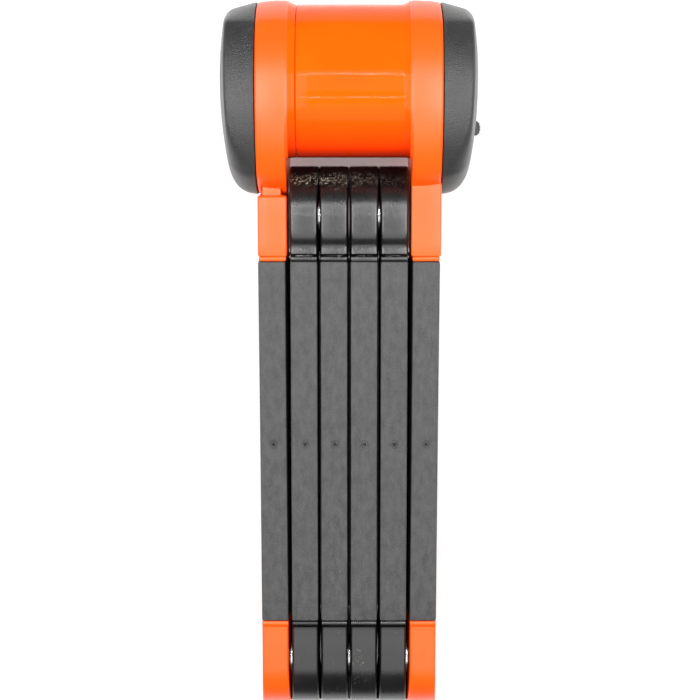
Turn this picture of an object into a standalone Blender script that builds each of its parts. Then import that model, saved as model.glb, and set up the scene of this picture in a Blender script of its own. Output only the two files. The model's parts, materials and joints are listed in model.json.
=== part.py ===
"""Folding bike lock: six riveted links folded flat under a barrel-shaped lock head.

Metres, +Z up. The folded lock lies on its back: X runs across the stack of links, Y runs along
them with the head at +Y, and Z is the depth of the head. Link A carries the tongue that plugs
into the head, link F is fixed in the head, and links B to E fold between them.
"""
import math

import bmesh
import bpy
from mathutils import Vector

# ---------------------------------------------------------------- driving dimensions
PIVOT_SPACING = 0.145        # between the two rivets of one link
END_RADIUS = 0.015           # rounded end of a link, around its rivet
LINK_THICK = 0.0083          # link over its plastic cover
OUTER_PITCH = 0.0099         # A to B and E to F
INNER_PITCH = 0.00934        # between the other links
PLATE_THICK = 0.005          # hardened steel plate
PLATE_HALF_WIDTH = 0.012
FIT = 0.0003                 # clearance between neighbouring pieces

HEAD_HALF_LENGTH = 0.040
HEAD_HALF_HEIGHT = 0.0302
HEAD_HALF_DEPTH = 0.027
CREASE_Y = 0.0238            # corner between the front face and the top facet
CREASE_Z = 0.0190
FLANGE_END_X = 0.0281        # where the painted body ends and the bumpers begin
WAIST_HALF_LENGTH = 0.0161
WAIST_STEP = 0.00115         # how far the waist lies below the flanges
SEAM_X = -0.0160             # joint between the two painted body shells
BAR_SPACE_TOP = -0.0178      # underside of the waist, above the folded links
BAR_SPACE_HALF = 0.0192
BAR_SPACE_CORNER = 0.0010
STUB_BOTTOM = -0.0273        # lower end of the tongue socket

# heights below the middle of the head
UPPER_PIVOT = -0.036
LOWER_PIVOT = UPPER_PIVOT - PIVOT_SPACING
COVER_TOP = -0.0497
COVER_BOTTOM = -0.1647
LEG_INNER_X = 0.0192
LEG_OUTER_X = 0.0281

# the head's middle in world coordinates: the box of the lock is centred over the origin
HEAD = Vector((0.0, 0.0829, HEAD_HALF_DEPTH))

LINKS = "abcdef"
LINK_X = {
    "a": -1.5 * INNER_PITCH - OUTER_PITCH,
    "b": -1.5 * INNER_PITCH,
    "c": -0.5 * INNER_PITCH,
    "d": 0.5 * INNER_PITCH,
    "e": 1.5 * INNER_PITCH,
    "f": 1.5 * INNER_PITCH + OUTER_PITCH,
}
# each hinge: the two links it joins and the height of its rivet
HINGES = {
    "ab": LOWER_PIVOT,
    "bc": UPPER_PIVOT,
    "cd": LOWER_PIVOT,
    "de": UPPER_PIVOT,
    "ef": LOWER_PIVOT,
}

# lock cylinder, bolt and dust cover
KEY_Y = -0.0022              # axis of plug, cylinder and cam drum
BOLT_Y = -0.0118
BOLT_RADIUS = 0.0032
BOLT_TIP_X = -0.0205         # drawn back, clear of the tongue
BOLT_TAIL_X = 0.0
BOLT_TRAVEL = 0.0076         # for a quarter turn of the plug
COVER_DISC_Y = 0.0032
COVER_DISC_RADIUS = 0.015
WINDOW_OFFSET = COVER_DISC_Y - KEY_Y

# materials: colour, roughness, metallic
ORANGE = ("orange_shell", (0.95, 0.13, 0.01), 0.28, 0.0)
GREY = ("grey_cover", (0.16, 0.16, 0.165), 0.75, 0.0)
BLACK = ("black_cap", (0.015, 0.015, 0.016), 0.45, 0.0)
BUMPER = ("rubber_bumper", (0.055, 0.056, 0.056), 0.7, 0.0)
STEEL = ("hardened_steel", (0.45, 0.45, 0.46), 0.35, 1.0)
BRIGHT = ("bright_steel", (0.75, 0.75, 0.76), 0.25, 1.0)
BRASS = ("brass", (0.65, 0.48, 0.2), 0.3, 1.0)


# ---------------------------------------------------------------- scene helpers
def clear_scene():
    for old in list(bpy.data.objects):
        bpy.data.objects.remove(old, do_unlink=True)


def material(spec):
    name, colour, rough, metal = spec
    found = bpy.data.materials.get(name)
    if found:
        return found
    made = bpy.data.materials.new(name)
    made.use_nodes = True
    shader = made.node_tree.nodes["Principled BSDF"]
    shader.inputs["Base Color"].default_value = (*colour, 1.0)
    shader.inputs["Roughness"].default_value = rough
    shader.inputs["Metallic"].default_value = metal
    return made


def add_object(name, bm, spec, pivot=(0.0, 0.0, 0.0), smooth=True):
    """A named object from head-centred geometry, with its origin on pivot."""
    bmesh.ops.recalc_face_normals(bm, faces=bm.faces)
    bmesh.ops.translate(bm, verts=bm.verts, vec=-Vector(pivot))
    mesh = bpy.data.meshes.new(name)
    bm.to_mesh(mesh)
    bm.free()
    if smooth:
        mesh.shade_smooth()
        mesh.set_sharp_from_angle(angle=math.radians(35))
    mesh.materials.append(material(spec))
    made = bpy.data.objects.new(name, mesh)
    made.location = HEAD + Vector(pivot)
    bpy.context.collection.objects.link(made)
    return made


def cutter(name, bm):
    made = add_object(name, bm, STEEL, smooth=False)
    made.hide_render = True
    made.display_type = "WIRE"
    return made


def boolean(target, tool, operation="DIFFERENCE"):
    step = target.modifiers.new(tool.name, "BOOLEAN")
    step.operation = operation
    step.solver = "EXACT"
    step.object = tool


def cut(target, label, *shapes):
    """Takes each of the shapes (bmeshes) out of target."""
    for number, shape in enumerate(shapes):
        boolean(target, cutter(f"cut_{target.name}_{label}_{number}", shape))


# ---------------------------------------------------------------- shapes, extruded along X
def arc(cy, cz, radius, start, end, steps):
    """Points (y, z) on a circle, angles in degrees from +Y towards +Z."""
    points = []
    for k in range(steps + 1):
        angle = math.radians(start + (end - start) * k / steps)
        points.append((cy + radius * math.cos(angle), cz + radius * math.sin(angle)))
    return points


def loft(rings):
    """A closed solid through rings of equally many points; the end rings are filled."""
    bm = bmesh.new()
    rows = [[bm.verts.new(point) for point in ring] for ring in rings]
    count = len(rows[0])
    for row, following in zip(rows, rows[1:]):
        for k in range(count):
            after = (k + 1) % count
            bm.faces.new((row[k], row[after], following[after], following[k]))
    bm.faces.new(rows[0])
    bm.faces.new(rows[-1])
    return bm


def prism(outline, x0, x1):
    return loft([[(x, y, z) for y, z in outline] for x in (x0, x1)])


def disc(x0, x1, radius, cy=0.0, cz=0.0, steps=24):
    return prism(arc(cy, cz, radius, 0, 360 * (1 - 1 / steps), steps - 1), x0, x1)


def turned(profile, cy=0.0, cz=0.0, steps=24):
    """A solid turned about an X axis, from (x, radius) pairs; both ends are flat."""
    return loft([
        [(x, y, z) for y, z in arc(cy, cz, radius, 0, 360 * (1 - 1 / steps), steps - 1)]
        for x, radius in profile
    ])


def tube(x0, x1, outer, inner, cy=0.0, cz=0.0, steps=24):
    """A plain ring: one surface round its four edges."""
    bm = bmesh.new()
    rows = []
    for x, radius in ((x0, inner), (x0, outer), (x1, outer), (x1, inner)):
        ring = arc(cy, cz, radius, 0, 360 * (1 - 1 / steps), steps - 1)
        rows.append([bm.verts.new((x, y, z)) for y, z in ring])
    for row, following in zip(rows, rows[1:] + rows[:1]):
        for k in range(steps):
            after = (k + 1) % steps
            bm.faces.new((row[k], row[after], following[after], following[k]))
    return bm


def rounded_box(y0, y1, z0, z1, radius, steps=3):
    """Outline of a rectangle with rounded corners."""
    outline = []
    corners = ((y1, z1, 0), (y0, z1, 90), (y0, z0, 180), (y1, z0, 270))
    for y, z, start in corners:
        cy = y - math.copysign(radius, y - (y0 + y1) / 2)
        cz = z - math.copysign(radius, z - (z0 + z1) / 2)
        outline += arc(cy, cz, radius, start, start + 90, steps)
    return outline


def box(x0, x1, y0, y1, z0, z1):
    return prism([(y0, z0), (y1, z0), (y1, z1), (y0, z1)], x0, x1)


def rod_along(axis, centre, half_length, radius, steps=16):
    """A round rod along Y or Z, used for cross pins and their holes."""
    bm = turned([(-half_length, radius), (half_length, radius)], steps=steps)
    turn = {"Y": (-math.pi / 2, "Z"), "Z": (math.pi / 2, "Y")}[axis]
    for vert in bm.verts:
        x, y, z = vert.co
        vert.co = (-y, x, z) if turn[1] == "Z" else (-z, y, x)
    bmesh.ops.translate(bm, verts=bm.verts, vec=centre)
    return bm


# ---------------------------------------------------------------- the links
CAP_ARC_STEPS = 12
CAP_EDGE = 0.0009            # chamfer along a cap's edges
CHEEK_HOLE_RADIUS = 0.0073
RIVET_RADIUS = 0.004
RIVET_HOLE_RADIUS = RIVET_RADIUS + FIT
RIVET_HEAD_RADIUS = 0.0067
RIVET_HEAD_THICK = 0.0012
WASHER_RADIUS = 0.007
COVER_CORNER = 0.0011


def end_outline(pivot_y, flat_y, radius):
    """Half round about the pivot, with straight sides down to a flat end at flat_y."""
    facing_up = pivot_y > flat_y
    start = -90 if facing_up else 90
    round_end = arc(pivot_y, 0.0, radius, start, start + 180, CAP_ARC_STEPS)
    side = round_end[-1][1]
    return round_end + [(flat_y, side), (flat_y, -side)]


def cap_solid(x0, x1, pivot_y, flat_y):
    rings = []
    for x, inset in ((x0, CAP_EDGE), (x0 + CAP_EDGE, 0.0), (x1 - CAP_EDGE, 0.0), (x1, CAP_EDGE)):
        rings.append([(x, y, z) for y, z in end_outline(pivot_y, flat_y, END_RADIUS - inset)])
    return loft(rings)


def plate_pocket(x, y0, y1):
    """Room for a plate with round ends, over the whole of its length."""
    radius = PLATE_HALF_WIDTH + FIT
    outline = arc(y1, 0.0, radius, -90, 90, 8) + arc(y0, 0.0, radius, 90, 270, 8)
    half = PLATE_THICK / 2 + FIT
    return prism(outline, x - half, x + half)


def hinge_bore(x, y):
    """Through both cheeks of a cap, for the rivet's head and the washer."""
    return disc(x - LINK_THICK, x + LINK_THICK, CHEEK_HOLE_RADIUS, y, steps=16)


def make_cap(link, end):
    """The moulded end of a link, round its rivet."""
    upper = end == "upper"
    pivot_y = UPPER_PIVOT if upper else LOWER_PIVOT
    flat_y = COVER_TOP + FIT if upper else COVER_BOTTOM - FIT
    x = LINK_X[link]
    half = LINK_THICK / 2
    spec = ORANGE if link in "af" else BLACK
    cap = add_object(f"link_{link}_{end}_cap", cap_solid(x - half, x + half, pivot_y, flat_y), spec)
    cut(cap, "plate", plate_pocket(x, LOWER_PIVOT, UPPER_PIVOT))
    cut(cap, "bore", hinge_bore(x, pivot_y))
    return cap


def make_cover(link):
    """The plastic sleeve over the middle of a link."""
    x = LINK_X[link]
    half = LINK_THICK / 2
    outline = []
    for side_x, side_z in ((1, 1), (-1, 1), (-1, -1), (1, -1)):
        start = {(1, 1): 0, (-1, 1): 90, (-1, -1): 180, (1, -1): 270}[(side_x, side_z)]
        cx = x + side_x * (half - COVER_CORNER)
        cz = side_z * (END_RADIUS - COVER_CORNER)
        outline += arc(cx, cz, COVER_CORNER, start, start + 90, 2)
    rings = [[(px, y, pz) for px, pz in outline] for y in (COVER_BOTTOM, COVER_TOP)]
    sleeve = add_object(f"link_{link}_cover", loft(rings), GREY)
    room = PLATE_HALF_WIDTH + FIT
    pocket = PLATE_THICK / 2 + FIT
    ends = COVER_BOTTOM - FIT, COVER_TOP + FIT
    cut(sleeve, "plate", box(x - pocket, x + pocket, *ends, -room, room))
    return sleeve


def plate_outline(y0, y1, steps=10):
    radius = PLATE_HALF_WIDTH
    return arc(y1, 0.0, radius, -90, 90, steps) + arc(y0, 0.0, radius, 90, 270, steps)


def make_plate(link):
    """A steel plate, bored for its rivets."""
    x = LINK_X[link]
    half = PLATE_THICK / 2
    if link in "bcde":
        outline = plate_outline(LOWER_PIVOT, UPPER_PIVOT)
        holes = [(LOWER_PIVOT, RIVET_HOLE_RADIUS), (UPPER_PIVOT, RIVET_HOLE_RADIUS)]
    elif link == "a":
        outline = tongue_outline()
        holes = [(LOWER_PIVOT, RIVET_HOLE_RADIUS), (BOLT_Y, BOLT_RADIUS + 0.0004)]
    else:
        outline = anchor_outline()
        holes = [(LOWER_PIVOT, RIVET_HOLE_RADIUS), (KEY_Y, SLEEVE_RADIUS + FIT)]
    pivot = (x, LOWER_PIVOT, 0.0)
    plate = add_object(f"link_{link}_plate", prism(outline, x - half, x + half), STEEL, pivot)
    shapes = [disc(x - 2 * half, x + 2 * half, radius, y, steps=16) for y, radius in holes]
    if link == "f":
        for z in (-ANCHOR_PIN_Z, ANCHOR_PIN_Z):
            shapes.append(disc(x - 2 * half, x + 2 * half, ANCHOR_PIN_RADIUS + FIT,
                               ANCHOR_PIN_Y, z, steps=12))
    cut(plate, "hole", *shapes)
    return plate


def make_rivet(hinge):
    left, right = LINK_X[hinge[0]], LINK_X[hinge[1]]
    y = HINGES[hinge]
    seat = PLATE_THICK / 2 + FIT
    x0 = left - seat
    x1 = right + seat
    profile = [
        (x0 - RIVET_HEAD_THICK, RIVET_HEAD_RADIUS - 0.0006),
        (x0 - RIVET_HEAD_THICK + 0.0004, RIVET_HEAD_RADIUS),
        (x0, RIVET_HEAD_RADIUS),
        (x0, RIVET_RADIUS),
        (x1, RIVET_RADIUS),
        (x1, RIVET_HEAD_RADIUS),
        (x1 + RIVET_HEAD_THICK - 0.0004, RIVET_HEAD_RADIUS),
        (x1 + RIVET_HEAD_THICK, RIVET_HEAD_RADIUS - 0.0006),
    ]
    middle = ((left + right) / 2, y, 0.0)
    return add_object(f"rivet_{hinge}", turned(profile, y, steps=16), BRIGHT, middle)


def make_washer(hinge):
    left, right = LINK_X[hinge[0]], LINK_X[hinge[1]]
    seat = PLATE_THICK / 2 + FIT
    y = HINGES[hinge]
    ring = tube(left + seat, right - seat, WASHER_RADIUS, RIVET_HOLE_RADIUS, y, steps=16)
    return add_object(f"washer_{hinge}", ring, BRIGHT, ((left + right) / 2, y, 0.0))


# ---------------------------------------------------------------- tongue of link A
TONGUE_TOP = -0.0040
SHOULDER_Y = -0.0294         # top of link A's moulded end, below the socket
NECK_TOP = -0.0225
NECK_HALF_THICK = 0.0030
NECK_HALF_WIDTH = 0.0129
TONGUE_CORNER = 0.0035


def tongue_outline():
    """Straight plate with a corner-rounded tip at the head's end."""
    w = PLATE_HALF_WIDTH
    tip = TONGUE_TOP - TONGUE_CORNER
    inner = w - TONGUE_CORNER
    corners = arc(tip, -inner, TONGUE_CORNER, -90, 0, 4) + arc(tip, inner, TONGUE_CORNER, 0, 90, 4)
    return corners + arc(LOWER_PIVOT, 0.0, w, 90, 270, 12)


def make_tongue_cap():
    """The painted collar at the head's end of link A, with the neck that enters the socket."""
    outline = rounded_box(COVER_TOP + FIT, SHOULDER_Y, -END_RADIUS, END_RADIUS, 0.0008, 1)
    rings = []
    for x, inset in ((-LEG_OUTER_X, CAP_EDGE), (-LEG_OUTER_X + CAP_EDGE, 0.0),
                     (-LEG_INNER_X - CAP_EDGE, 0.0), (-LEG_INNER_X, CAP_EDGE)):
        scale = (END_RADIUS - inset) / END_RADIUS
        rings.append([(x, y, z * scale) for y, z in outline])
    cap = add_object("link_a_upper_cap", loft(rings), ORANGE)
    x = LINK_X["a"]
    neck_outline = rounded_box(SHOULDER_Y - 0.002, NECK_TOP, -NECK_HALF_WIDTH, NECK_HALF_WIDTH,
                               0.001, 1)
    neck = cutter("neck_of_link_a", prism(neck_outline, x - NECK_HALF_THICK, x + NECK_HALF_THICK))
    boolean(cap, neck, "UNION")
    half = PLATE_THICK / 2 + 0.0002
    room = PLATE_HALF_WIDTH + 0.0002
    cut(cap, "plate", box(x - half, x + half, COVER_TOP - FIT, NECK_TOP + FIT, -room, room))
    return cap


# ---------------------------------------------------------------- eye of link F
SLEEVE_RADIUS = 0.009
EYE_RADIUS = 0.0135
ANCHOR_PIN_Y = -0.0132
ANCHOR_PIN_Z = 0.0100
ANCHOR_PIN_RADIUS = 0.0013


def anchor_outline():
    """Straight plate that ends in an eye round the lock cylinder."""
    w = PLATE_HALF_WIDTH
    half_angle = math.degrees(math.asin(w / EYE_RADIUS))
    eye = arc(KEY_Y, 0.0, EYE_RADIUS, -180 + half_angle, 180 - half_angle, 20)
    return eye + arc(LOWER_PIVOT, 0.0, w, 90, 270, 12)


def make_anchor_pins():
    x = LINK_X["f"]
    for number, z in enumerate((-ANCHOR_PIN_Z, ANCHOR_PIN_Z), start=1):
        pin = disc(x - 0.0035, x + 0.0035, ANCHOR_PIN_RADIUS, ANCHOR_PIN_Y, z, steps=12)
        add_object(f"anchor_pin_{number}", pin, BRIGHT, (x, ANCHOR_PIN_Y, z))


# ---------------------------------------------------------------- the head's outer shells
ARC_STEPS = 9
CASE_TOP = 0.021
CASE_BOTTOM = -0.0164
CASE_HALF_DEPTH = 0.016
CASE_CORNER = 0.003
CASE_HALF_LENGTH = 0.0278


def chord_arc(end_a, end_b, apex_height):
    """Arc from end_a to end_b bulging by apex_height, without its last point."""
    a, b = Vector(end_a), Vector(end_b)
    half = (b - a).length / 2
    radius = (half * half + apex_height * apex_height) / (2 * apex_height)
    middle = (a + b) / 2
    outward = Vector((b.y - a.y, a.x - b.x)).normalized()
    centre = middle - outward * (radius - apex_height)
    sweep = 2 * math.asin(half / radius)
    points = []
    for k in range(ARC_STEPS):
        angle = -sweep / 2 + sweep * k / ARC_STEPS
        along = (b - a).normalized()
        points.append(centre + outward * radius * math.cos(angle) + along * radius * math.sin(angle))
    return [(p.x, p.y) for p in points]


def head_outline(inset=0.0):
    """The barrel's section (y, z): four crowned faces that meet in soft creases."""
    shrink_y = (HEAD_HALF_HEIGHT - inset) / HEAD_HALF_HEIGHT
    shrink_z = (HEAD_HALF_DEPTH - inset) / HEAD_HALF_DEPTH
    corners = [(CREASE_Y, -CREASE_Z), (CREASE_Y, CREASE_Z),
               (-CREASE_Y, CREASE_Z), (-CREASE_Y, -CREASE_Z)]
    rise_y = HEAD_HALF_HEIGHT - CREASE_Y
    rise_z = HEAD_HALF_DEPTH - CREASE_Z
    outline = []
    for k, rise in enumerate((rise_y, rise_z, rise_y, rise_z)):
        outline += chord_arc(corners[k], corners[(k + 1) % 4], rise)
    return [(y * shrink_y, z * shrink_z) for y, z in outline]


# (distance from the middle of the head, how far the surface lies inside the largest section)
FLARE = (
    (WAIST_HALF_LENGTH, WAIST_STEP),
    (0.0172, 0.00098),
    (0.0184, 0.00050),
    (0.0196, 0.00015),
    (0.0215, 0.0),
    (0.0250, 0.00030),
    (FLANGE_END_X, 0.00080),
)


def case_outline(gap=0.0):
    return rounded_box(CASE_BOTTOM - gap, CASE_TOP + gap, -CASE_HALF_DEPTH - gap,
                       CASE_HALF_DEPTH + gap, CASE_CORNER + gap, 3)


def bar_space():
    """The notch under the waist that the folded links lie in."""
    r = BAR_SPACE_CORNER
    far = -0.060
    side = BAR_SPACE_HALF
    corner_left = [(-side, far), (-side, BAR_SPACE_TOP - r)]
    corner_left += [(-side + r + r * math.cos(t), BAR_SPACE_TOP - r + r * math.sin(t))
                    for t in (math.pi * 0.75, math.pi * 0.5)]
    outline = corner_left + [(-x, y) for x, y in reversed(corner_left)]
    return loft([[(x, y, z) for x, y in outline] for z in (-0.035, 0.035)])


def make_main_shell():
    rings = [(SEAM_X, WAIST_STEP)] + list(FLARE)
    body = loft([[(x, y, z) for y, z in head_outline(inset)] for x, inset in rings])
    shell = add_object("housing_main_shell", body, ORANGE)
    leg_outline = rounded_box(COVER_TOP + FIT, -0.012, -END_RADIUS, END_RADIUS, 0.0009, 1)
    leg = cutter("leg_of_main_shell", prism(leg_outline, LEG_INNER_X, FLANGE_END_X - 0.0001))
    cut(shell, "bars", bar_space())
    boolean(shell, leg, "UNION")
    cut(shell, "case", prism(case_outline(FIT), -0.02, 0.03))
    x = LINK_X["f"]
    half = PLATE_THICK / 2 + FIT
    room = PLATE_HALF_WIDTH + FIT
    cut(shell, "plate", box(x - half, x + half, COVER_TOP - FIT, -0.0150, -room, room))
    return shell


def make_socket_shell():
    rings = [(-x, inset) for x, inset in reversed(FLARE)] + [(SEAM_X - FIT, WAIST_STEP)]
    body = loft([[(x, y, z) for y, z in head_outline(inset)] for x, inset in rings])
    shell = add_object("housing_socket_shell", body, ORANGE)
    cut(shell, "bars", bar_space())
    cut(shell, "bottom", box(-0.03, -0.015, -0.035, STUB_BOTTOM, -0.03, 0.03))
    cut(shell, "case", prism(case_outline(FIT), -0.03, -0.015))
    x = LINK_X["a"]
    half = NECK_HALF_THICK + FIT
    room = NECK_HALF_WIDTH + FIT
    cut(shell, "slot", box(x - half, x + half, -0.035, -0.0150, -room, room))
    return shell


# ---------------------------------------------------------------- bumpers
DOME_CENTRE_Y = 0.005
DOME_RADIUS_Y = 0.130
DOME_RADIUS_Z = 0.240
BUMPER_START_X = FLANGE_END_X + FIT
BUMPER_START_INSET = 0.0009
ROUNDING_STEPS = 4
DOME_RINGS = (0.8, 0.5, 0.2)


def rounding(y, z):
    """Radius of the outer edge: largest along the bottom, smallest front and back."""
    steep = abs(y) / HEAD_HALF_HEIGHT
    if y < 0:
        return 0.0014 + 0.0070 * max(0.0, steep - 0.55) / 0.45
    return 0.0014 + 0.0044 * max(0.0, steep - 0.60) / 0.40


def dome_x(y, z):
    sag = (y - DOME_CENTRE_Y) ** 2 / (2 * DOME_RADIUS_Y) + z * z / (2 * DOME_RADIUS_Z)
    return HEAD_HALF_LENGTH - sag


def bumper_body(side):
    """Domed end of the head; side is -1 for the left one and 1 for the right one."""
    base = head_outline(BUMPER_START_INSET)
    rings = [[(side * BUMPER_START_X, y, z) for y, z in base]]
    for k in range(ROUNDING_STEPS + 1):
        angle = math.pi / 2 * k / ROUNDING_STEPS
        ring = []
        for y, z in base:
            r = rounding(y, z)
            away = math.hypot(y, z)
            inset = 0.0004 + r * (1 - math.cos(angle))
            scale = 1 - inset / away
            inner = 1 - (0.0004 + r) / away
            edge_x = dome_x(y * inner, z * inner)
            ring.append((side * (edge_x - r * (1 - math.sin(angle))), y * scale, z * scale))
        rings.append(ring)
    rim = rings[-1]
    for part in DOME_RINGS:
        ring = [(y * part, z * part) for _, y, z in rim]
        rings.append([(side * dome_x(y, z), y, z) for y, z in ring])
    return loft(rings)


END_PLATE_X = (-0.0307, -0.0281)
SCREW_Y = 0.0150
SCREW_Z = 0.0090
RIM_RADIUS = COVER_DISC_RADIUS + 0.0010
DISC_BACK_X = 0.0366
DISC_LIP_X = 0.0376


def make_left_bumper():
    bumper = add_object("bumper_left", bumper_body(-1), BUMPER)
    outline = rounded_box(-0.0145, 0.0195, -0.0145, 0.0145, 0.002, 2)
    cut(bumper, "pocket", prism(outline, -0.0330, -0.0270))
    return bumper


def make_right_bumper():
    bumper = add_object("bumper_right", bumper_body(1), BUMPER)
    step = DISC_LIP_X + FIT
    hole = [(0.0270, RIM_RADIUS + FIT), (step, RIM_RADIUS + FIT),
            (step, COVER_DISC_RADIUS + FIT), (0.0450, COVER_DISC_RADIUS + FIT)]
    cut(bumper, "hole", turned(hole, COVER_DISC_Y, steps=32))
    return bumper


# ---------------------------------------------------------------- inside the head
SLEEVE_X = (0.0023, 0.0335)
PLUG_RADIUS = 0.0064
DRUM_X = (-0.0172, 0.0006)
DRUM_RADIUS = 0.0056
GROOVE_DEPTH = 0.0024
FOLLOWER_X = -0.0034
FOLLOWER_RADIUS = 0.0011
DISC_STACK_X = 0.0123
DISC_THICK = 0.0034
DISC_STEP = 0.0044
DISC_RADIUS = 0.0047
LOCK_DISCS = 4
KEYWAY_HALF_WIDTH = 0.0012
KEYWAY_HALF_HEIGHT = 0.0038
DETENT_X = 0.0060
BALL_RADIUS = 0.0013
LOCK_PIN_X = 0.0160
LOCK_PIN_RADIUS = 0.0012


def make_case():
    body = prism(case_outline(), -CASE_HALF_LENGTH, CASE_HALF_LENGTH)
    case = add_object("lock_case", body, STEEL)
    end = CASE_HALF_LENGTH + 0.001
    bore = turned([(DRUM_X[0] - FIT, DRUM_RADIUS + FIT), (0.0008, DRUM_RADIUS + FIT),
                   (0.0008, SLEEVE_RADIUS + FIT), (end, SLEEVE_RADIUS + FIT)], KEY_Y, steps=28)
    channel = disc(-end, BOLT_TAIL_X + FIT, BOLT_RADIUS + 0.0002, BOLT_Y, steps=20)
    follower_room = box(FOLLOWER_X - BOLT_TRAVEL - 0.002, FOLLOWER_X + 0.002, BOLT_Y, KEY_Y - 0.004,
                        -0.0016, 0.0016)
    cut(case, "bore", bore, channel, follower_room)
    half = PLATE_THICK / 2 + FIT
    x = LINK_X["a"]
    room = PLATE_HALF_WIDTH + FIT
    tongue_slot = box(x - half, x + half, -0.020, TONGUE_TOP + 0.0005, -room, room)
    x = LINK_X["f"]
    eye_slot = box(x - half, x + half, -0.020, KEY_Y + EYE_RADIUS + FIT,
                   -EYE_RADIUS - FIT, EYE_RADIUS + FIT)
    cut(case, "slot", tongue_slot, eye_slot)
    pins = [disc(x - 0.0038, x + 0.0050, ANCHOR_PIN_RADIUS + FIT, ANCHOR_PIN_Y, z, steps=12)
            for z in (-ANCHOR_PIN_Z, ANCHOR_PIN_Z)]
    screws = [disc(-end, -0.0200, 0.0018, SCREW_Y, z, steps=12) for z in (-SCREW_Z, SCREW_Z)]
    lock_pin = rod_along("Z", (LOCK_PIN_X, KEY_Y + SLEEVE_RADIUS, 0.0), 0.020,
                         LOCK_PIN_RADIUS + FIT, 12)
    detent = rod_along("Y", (DETENT_X, KEY_Y + 0.0110, 0.0), 0.0050, BALL_RADIUS + FIT, 12)
    cut(case, "pin", *pins, *screws, lock_pin, detent)
    return case


def make_end_plate():
    outline = rounded_box(-0.0140, 0.0190, -0.0140, 0.0140, 0.002, 2)
    plate = add_object("end_plate", prism(outline, *END_PLATE_X), STEEL)
    holes = [disc(-0.032, -0.027, 0.0018, SCREW_Y, z, steps=12) for z in (-SCREW_Z, SCREW_Z)]
    keeper = disc(-0.0300, -0.0270, BOLT_RADIUS + 0.0004, BOLT_Y + 0.0002, steps=20)
    cut(plate, "hole", *holes, keeper)
    for number, z in enumerate((-SCREW_Z, SCREW_Z), start=1):
        head = END_PLATE_X[0] - FIT
        profile = [(head - 0.0016, 0.0024), (head - 0.0012, 0.0028), (head, 0.0028),
                   (head, 0.0015), (-0.0205, 0.0015)]
        screw = turned(profile, SCREW_Y, z, steps=14)
        screw = add_object(f"end_plate_screw_{number}", screw, BRIGHT, (head, SCREW_Y, z))
        socket = disc(head - 0.0020, head - 0.0008, 0.0012, SCREW_Y, z, steps=6)
        cut(screw, "socket", socket)


def make_sleeve():
    ring = tube(*SLEEVE_X, SLEEVE_RADIUS, PLUG_RADIUS + FIT, KEY_Y, steps=28)
    sleeve = add_object("cylinder_sleeve", ring, BRASS, (0.0, KEY_Y, 0.0))
    notch = rod_along("Z", (LOCK_PIN_X, KEY_Y + SLEEVE_RADIUS, 0.0), 0.010,
                      LOCK_PIN_RADIUS + FIT, 12)
    detent = rod_along("Y", (DETENT_X, KEY_Y + 0.0080, 0.0), 0.0030, BALL_RADIUS + FIT, 12)
    cut(sleeve, "notch", notch, detent)
    pin = rod_along("Z", (LOCK_PIN_X, KEY_Y + SLEEVE_RADIUS, 0.0), 0.0155, LOCK_PIN_RADIUS, 12)
    add_object("cylinder_roll_pin", pin, BRIGHT)


def keyway(x0, x1):
    return box(x0, x1, KEY_Y - KEYWAY_HALF_HEIGHT, KEY_Y + KEYWAY_HALF_HEIGHT,
               -KEYWAY_HALF_WIDTH, KEYWAY_HALF_WIDTH)


SIDEBAR_HALF_WIDTH = 0.0008


def make_plug():
    """The plug carries the lock discs in a pocket that opens through the sidebar's slot."""
    profile = [(0.0009, 0.0054), (0.0020, 0.0054), (0.0020, PLUG_RADIUS),
               (0.0334, PLUG_RADIUS), (0.0338, PLUG_RADIUS - 0.0004)]
    plug = add_object("plug", turned(profile, KEY_Y, steps=24), BRASS, (0.0, KEY_Y, 0.0))
    pocket_end = DISC_STACK_X + LOCK_DISCS * DISC_STEP
    pocket = disc(DISC_STACK_X - 0.0005, pocket_end, DISC_RADIUS + 0.0002, KEY_Y, steps=24)
    slot = box(DISC_STACK_X, pocket_end - 0.0005, KEY_Y + 0.002, KEY_Y + 0.008,
               -SIDEBAR_HALF_WIDTH - FIT, SIDEBAR_HALF_WIDTH + FIT)
    cut(plug, "inside", pocket, slot, keyway(pocket_end - 0.001, 0.035))
    bar = box(DISC_STACK_X + 0.0003, pocket_end - 0.0008, KEY_Y + DISC_RADIUS + 0.0003,
              KEY_Y + PLUG_RADIUS - 0.0002, -SIDEBAR_HALF_WIDTH, SIDEBAR_HALF_WIDTH)
    add_object("sidebar", bar, BRIGHT, (0.0, KEY_Y, 0.0), smooth=False)
    for number in range(LOCK_DISCS):
        x0 = DISC_STACK_X + number * DISC_STEP
        name = f"lock_disc_{number + 1}"
        tumbler = add_object(name, disc(x0, x0 + DISC_THICK, DISC_RADIUS, KEY_Y), BRASS,
                             (x0, KEY_Y, 0.0))
        gate = box(x0 - 0.001, x0 + DISC_THICK + 0.001, KEY_Y + 0.0040, KEY_Y + 0.006,
                   -SIDEBAR_HALF_WIDTH, SIDEBAR_HALF_WIDTH)
        cut(tumbler, "key", keyway(x0 - 0.001, x0 + DISC_THICK + 0.001), gate)


def make_retaining_ring():
    """A C-shaped clip in the groove at the plug's inner end."""
    inner = arc(KEY_Y, 0.0, 0.0057, 30, 330, 18)
    outer = arc(KEY_Y, 0.0, 0.0080, 330, 30, 18)
    add_object("plug_retaining_ring", prism(inner + outer, 0.0011, 0.0018), BRIGHT,
               (0.0, KEY_Y, 0.0))


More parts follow.
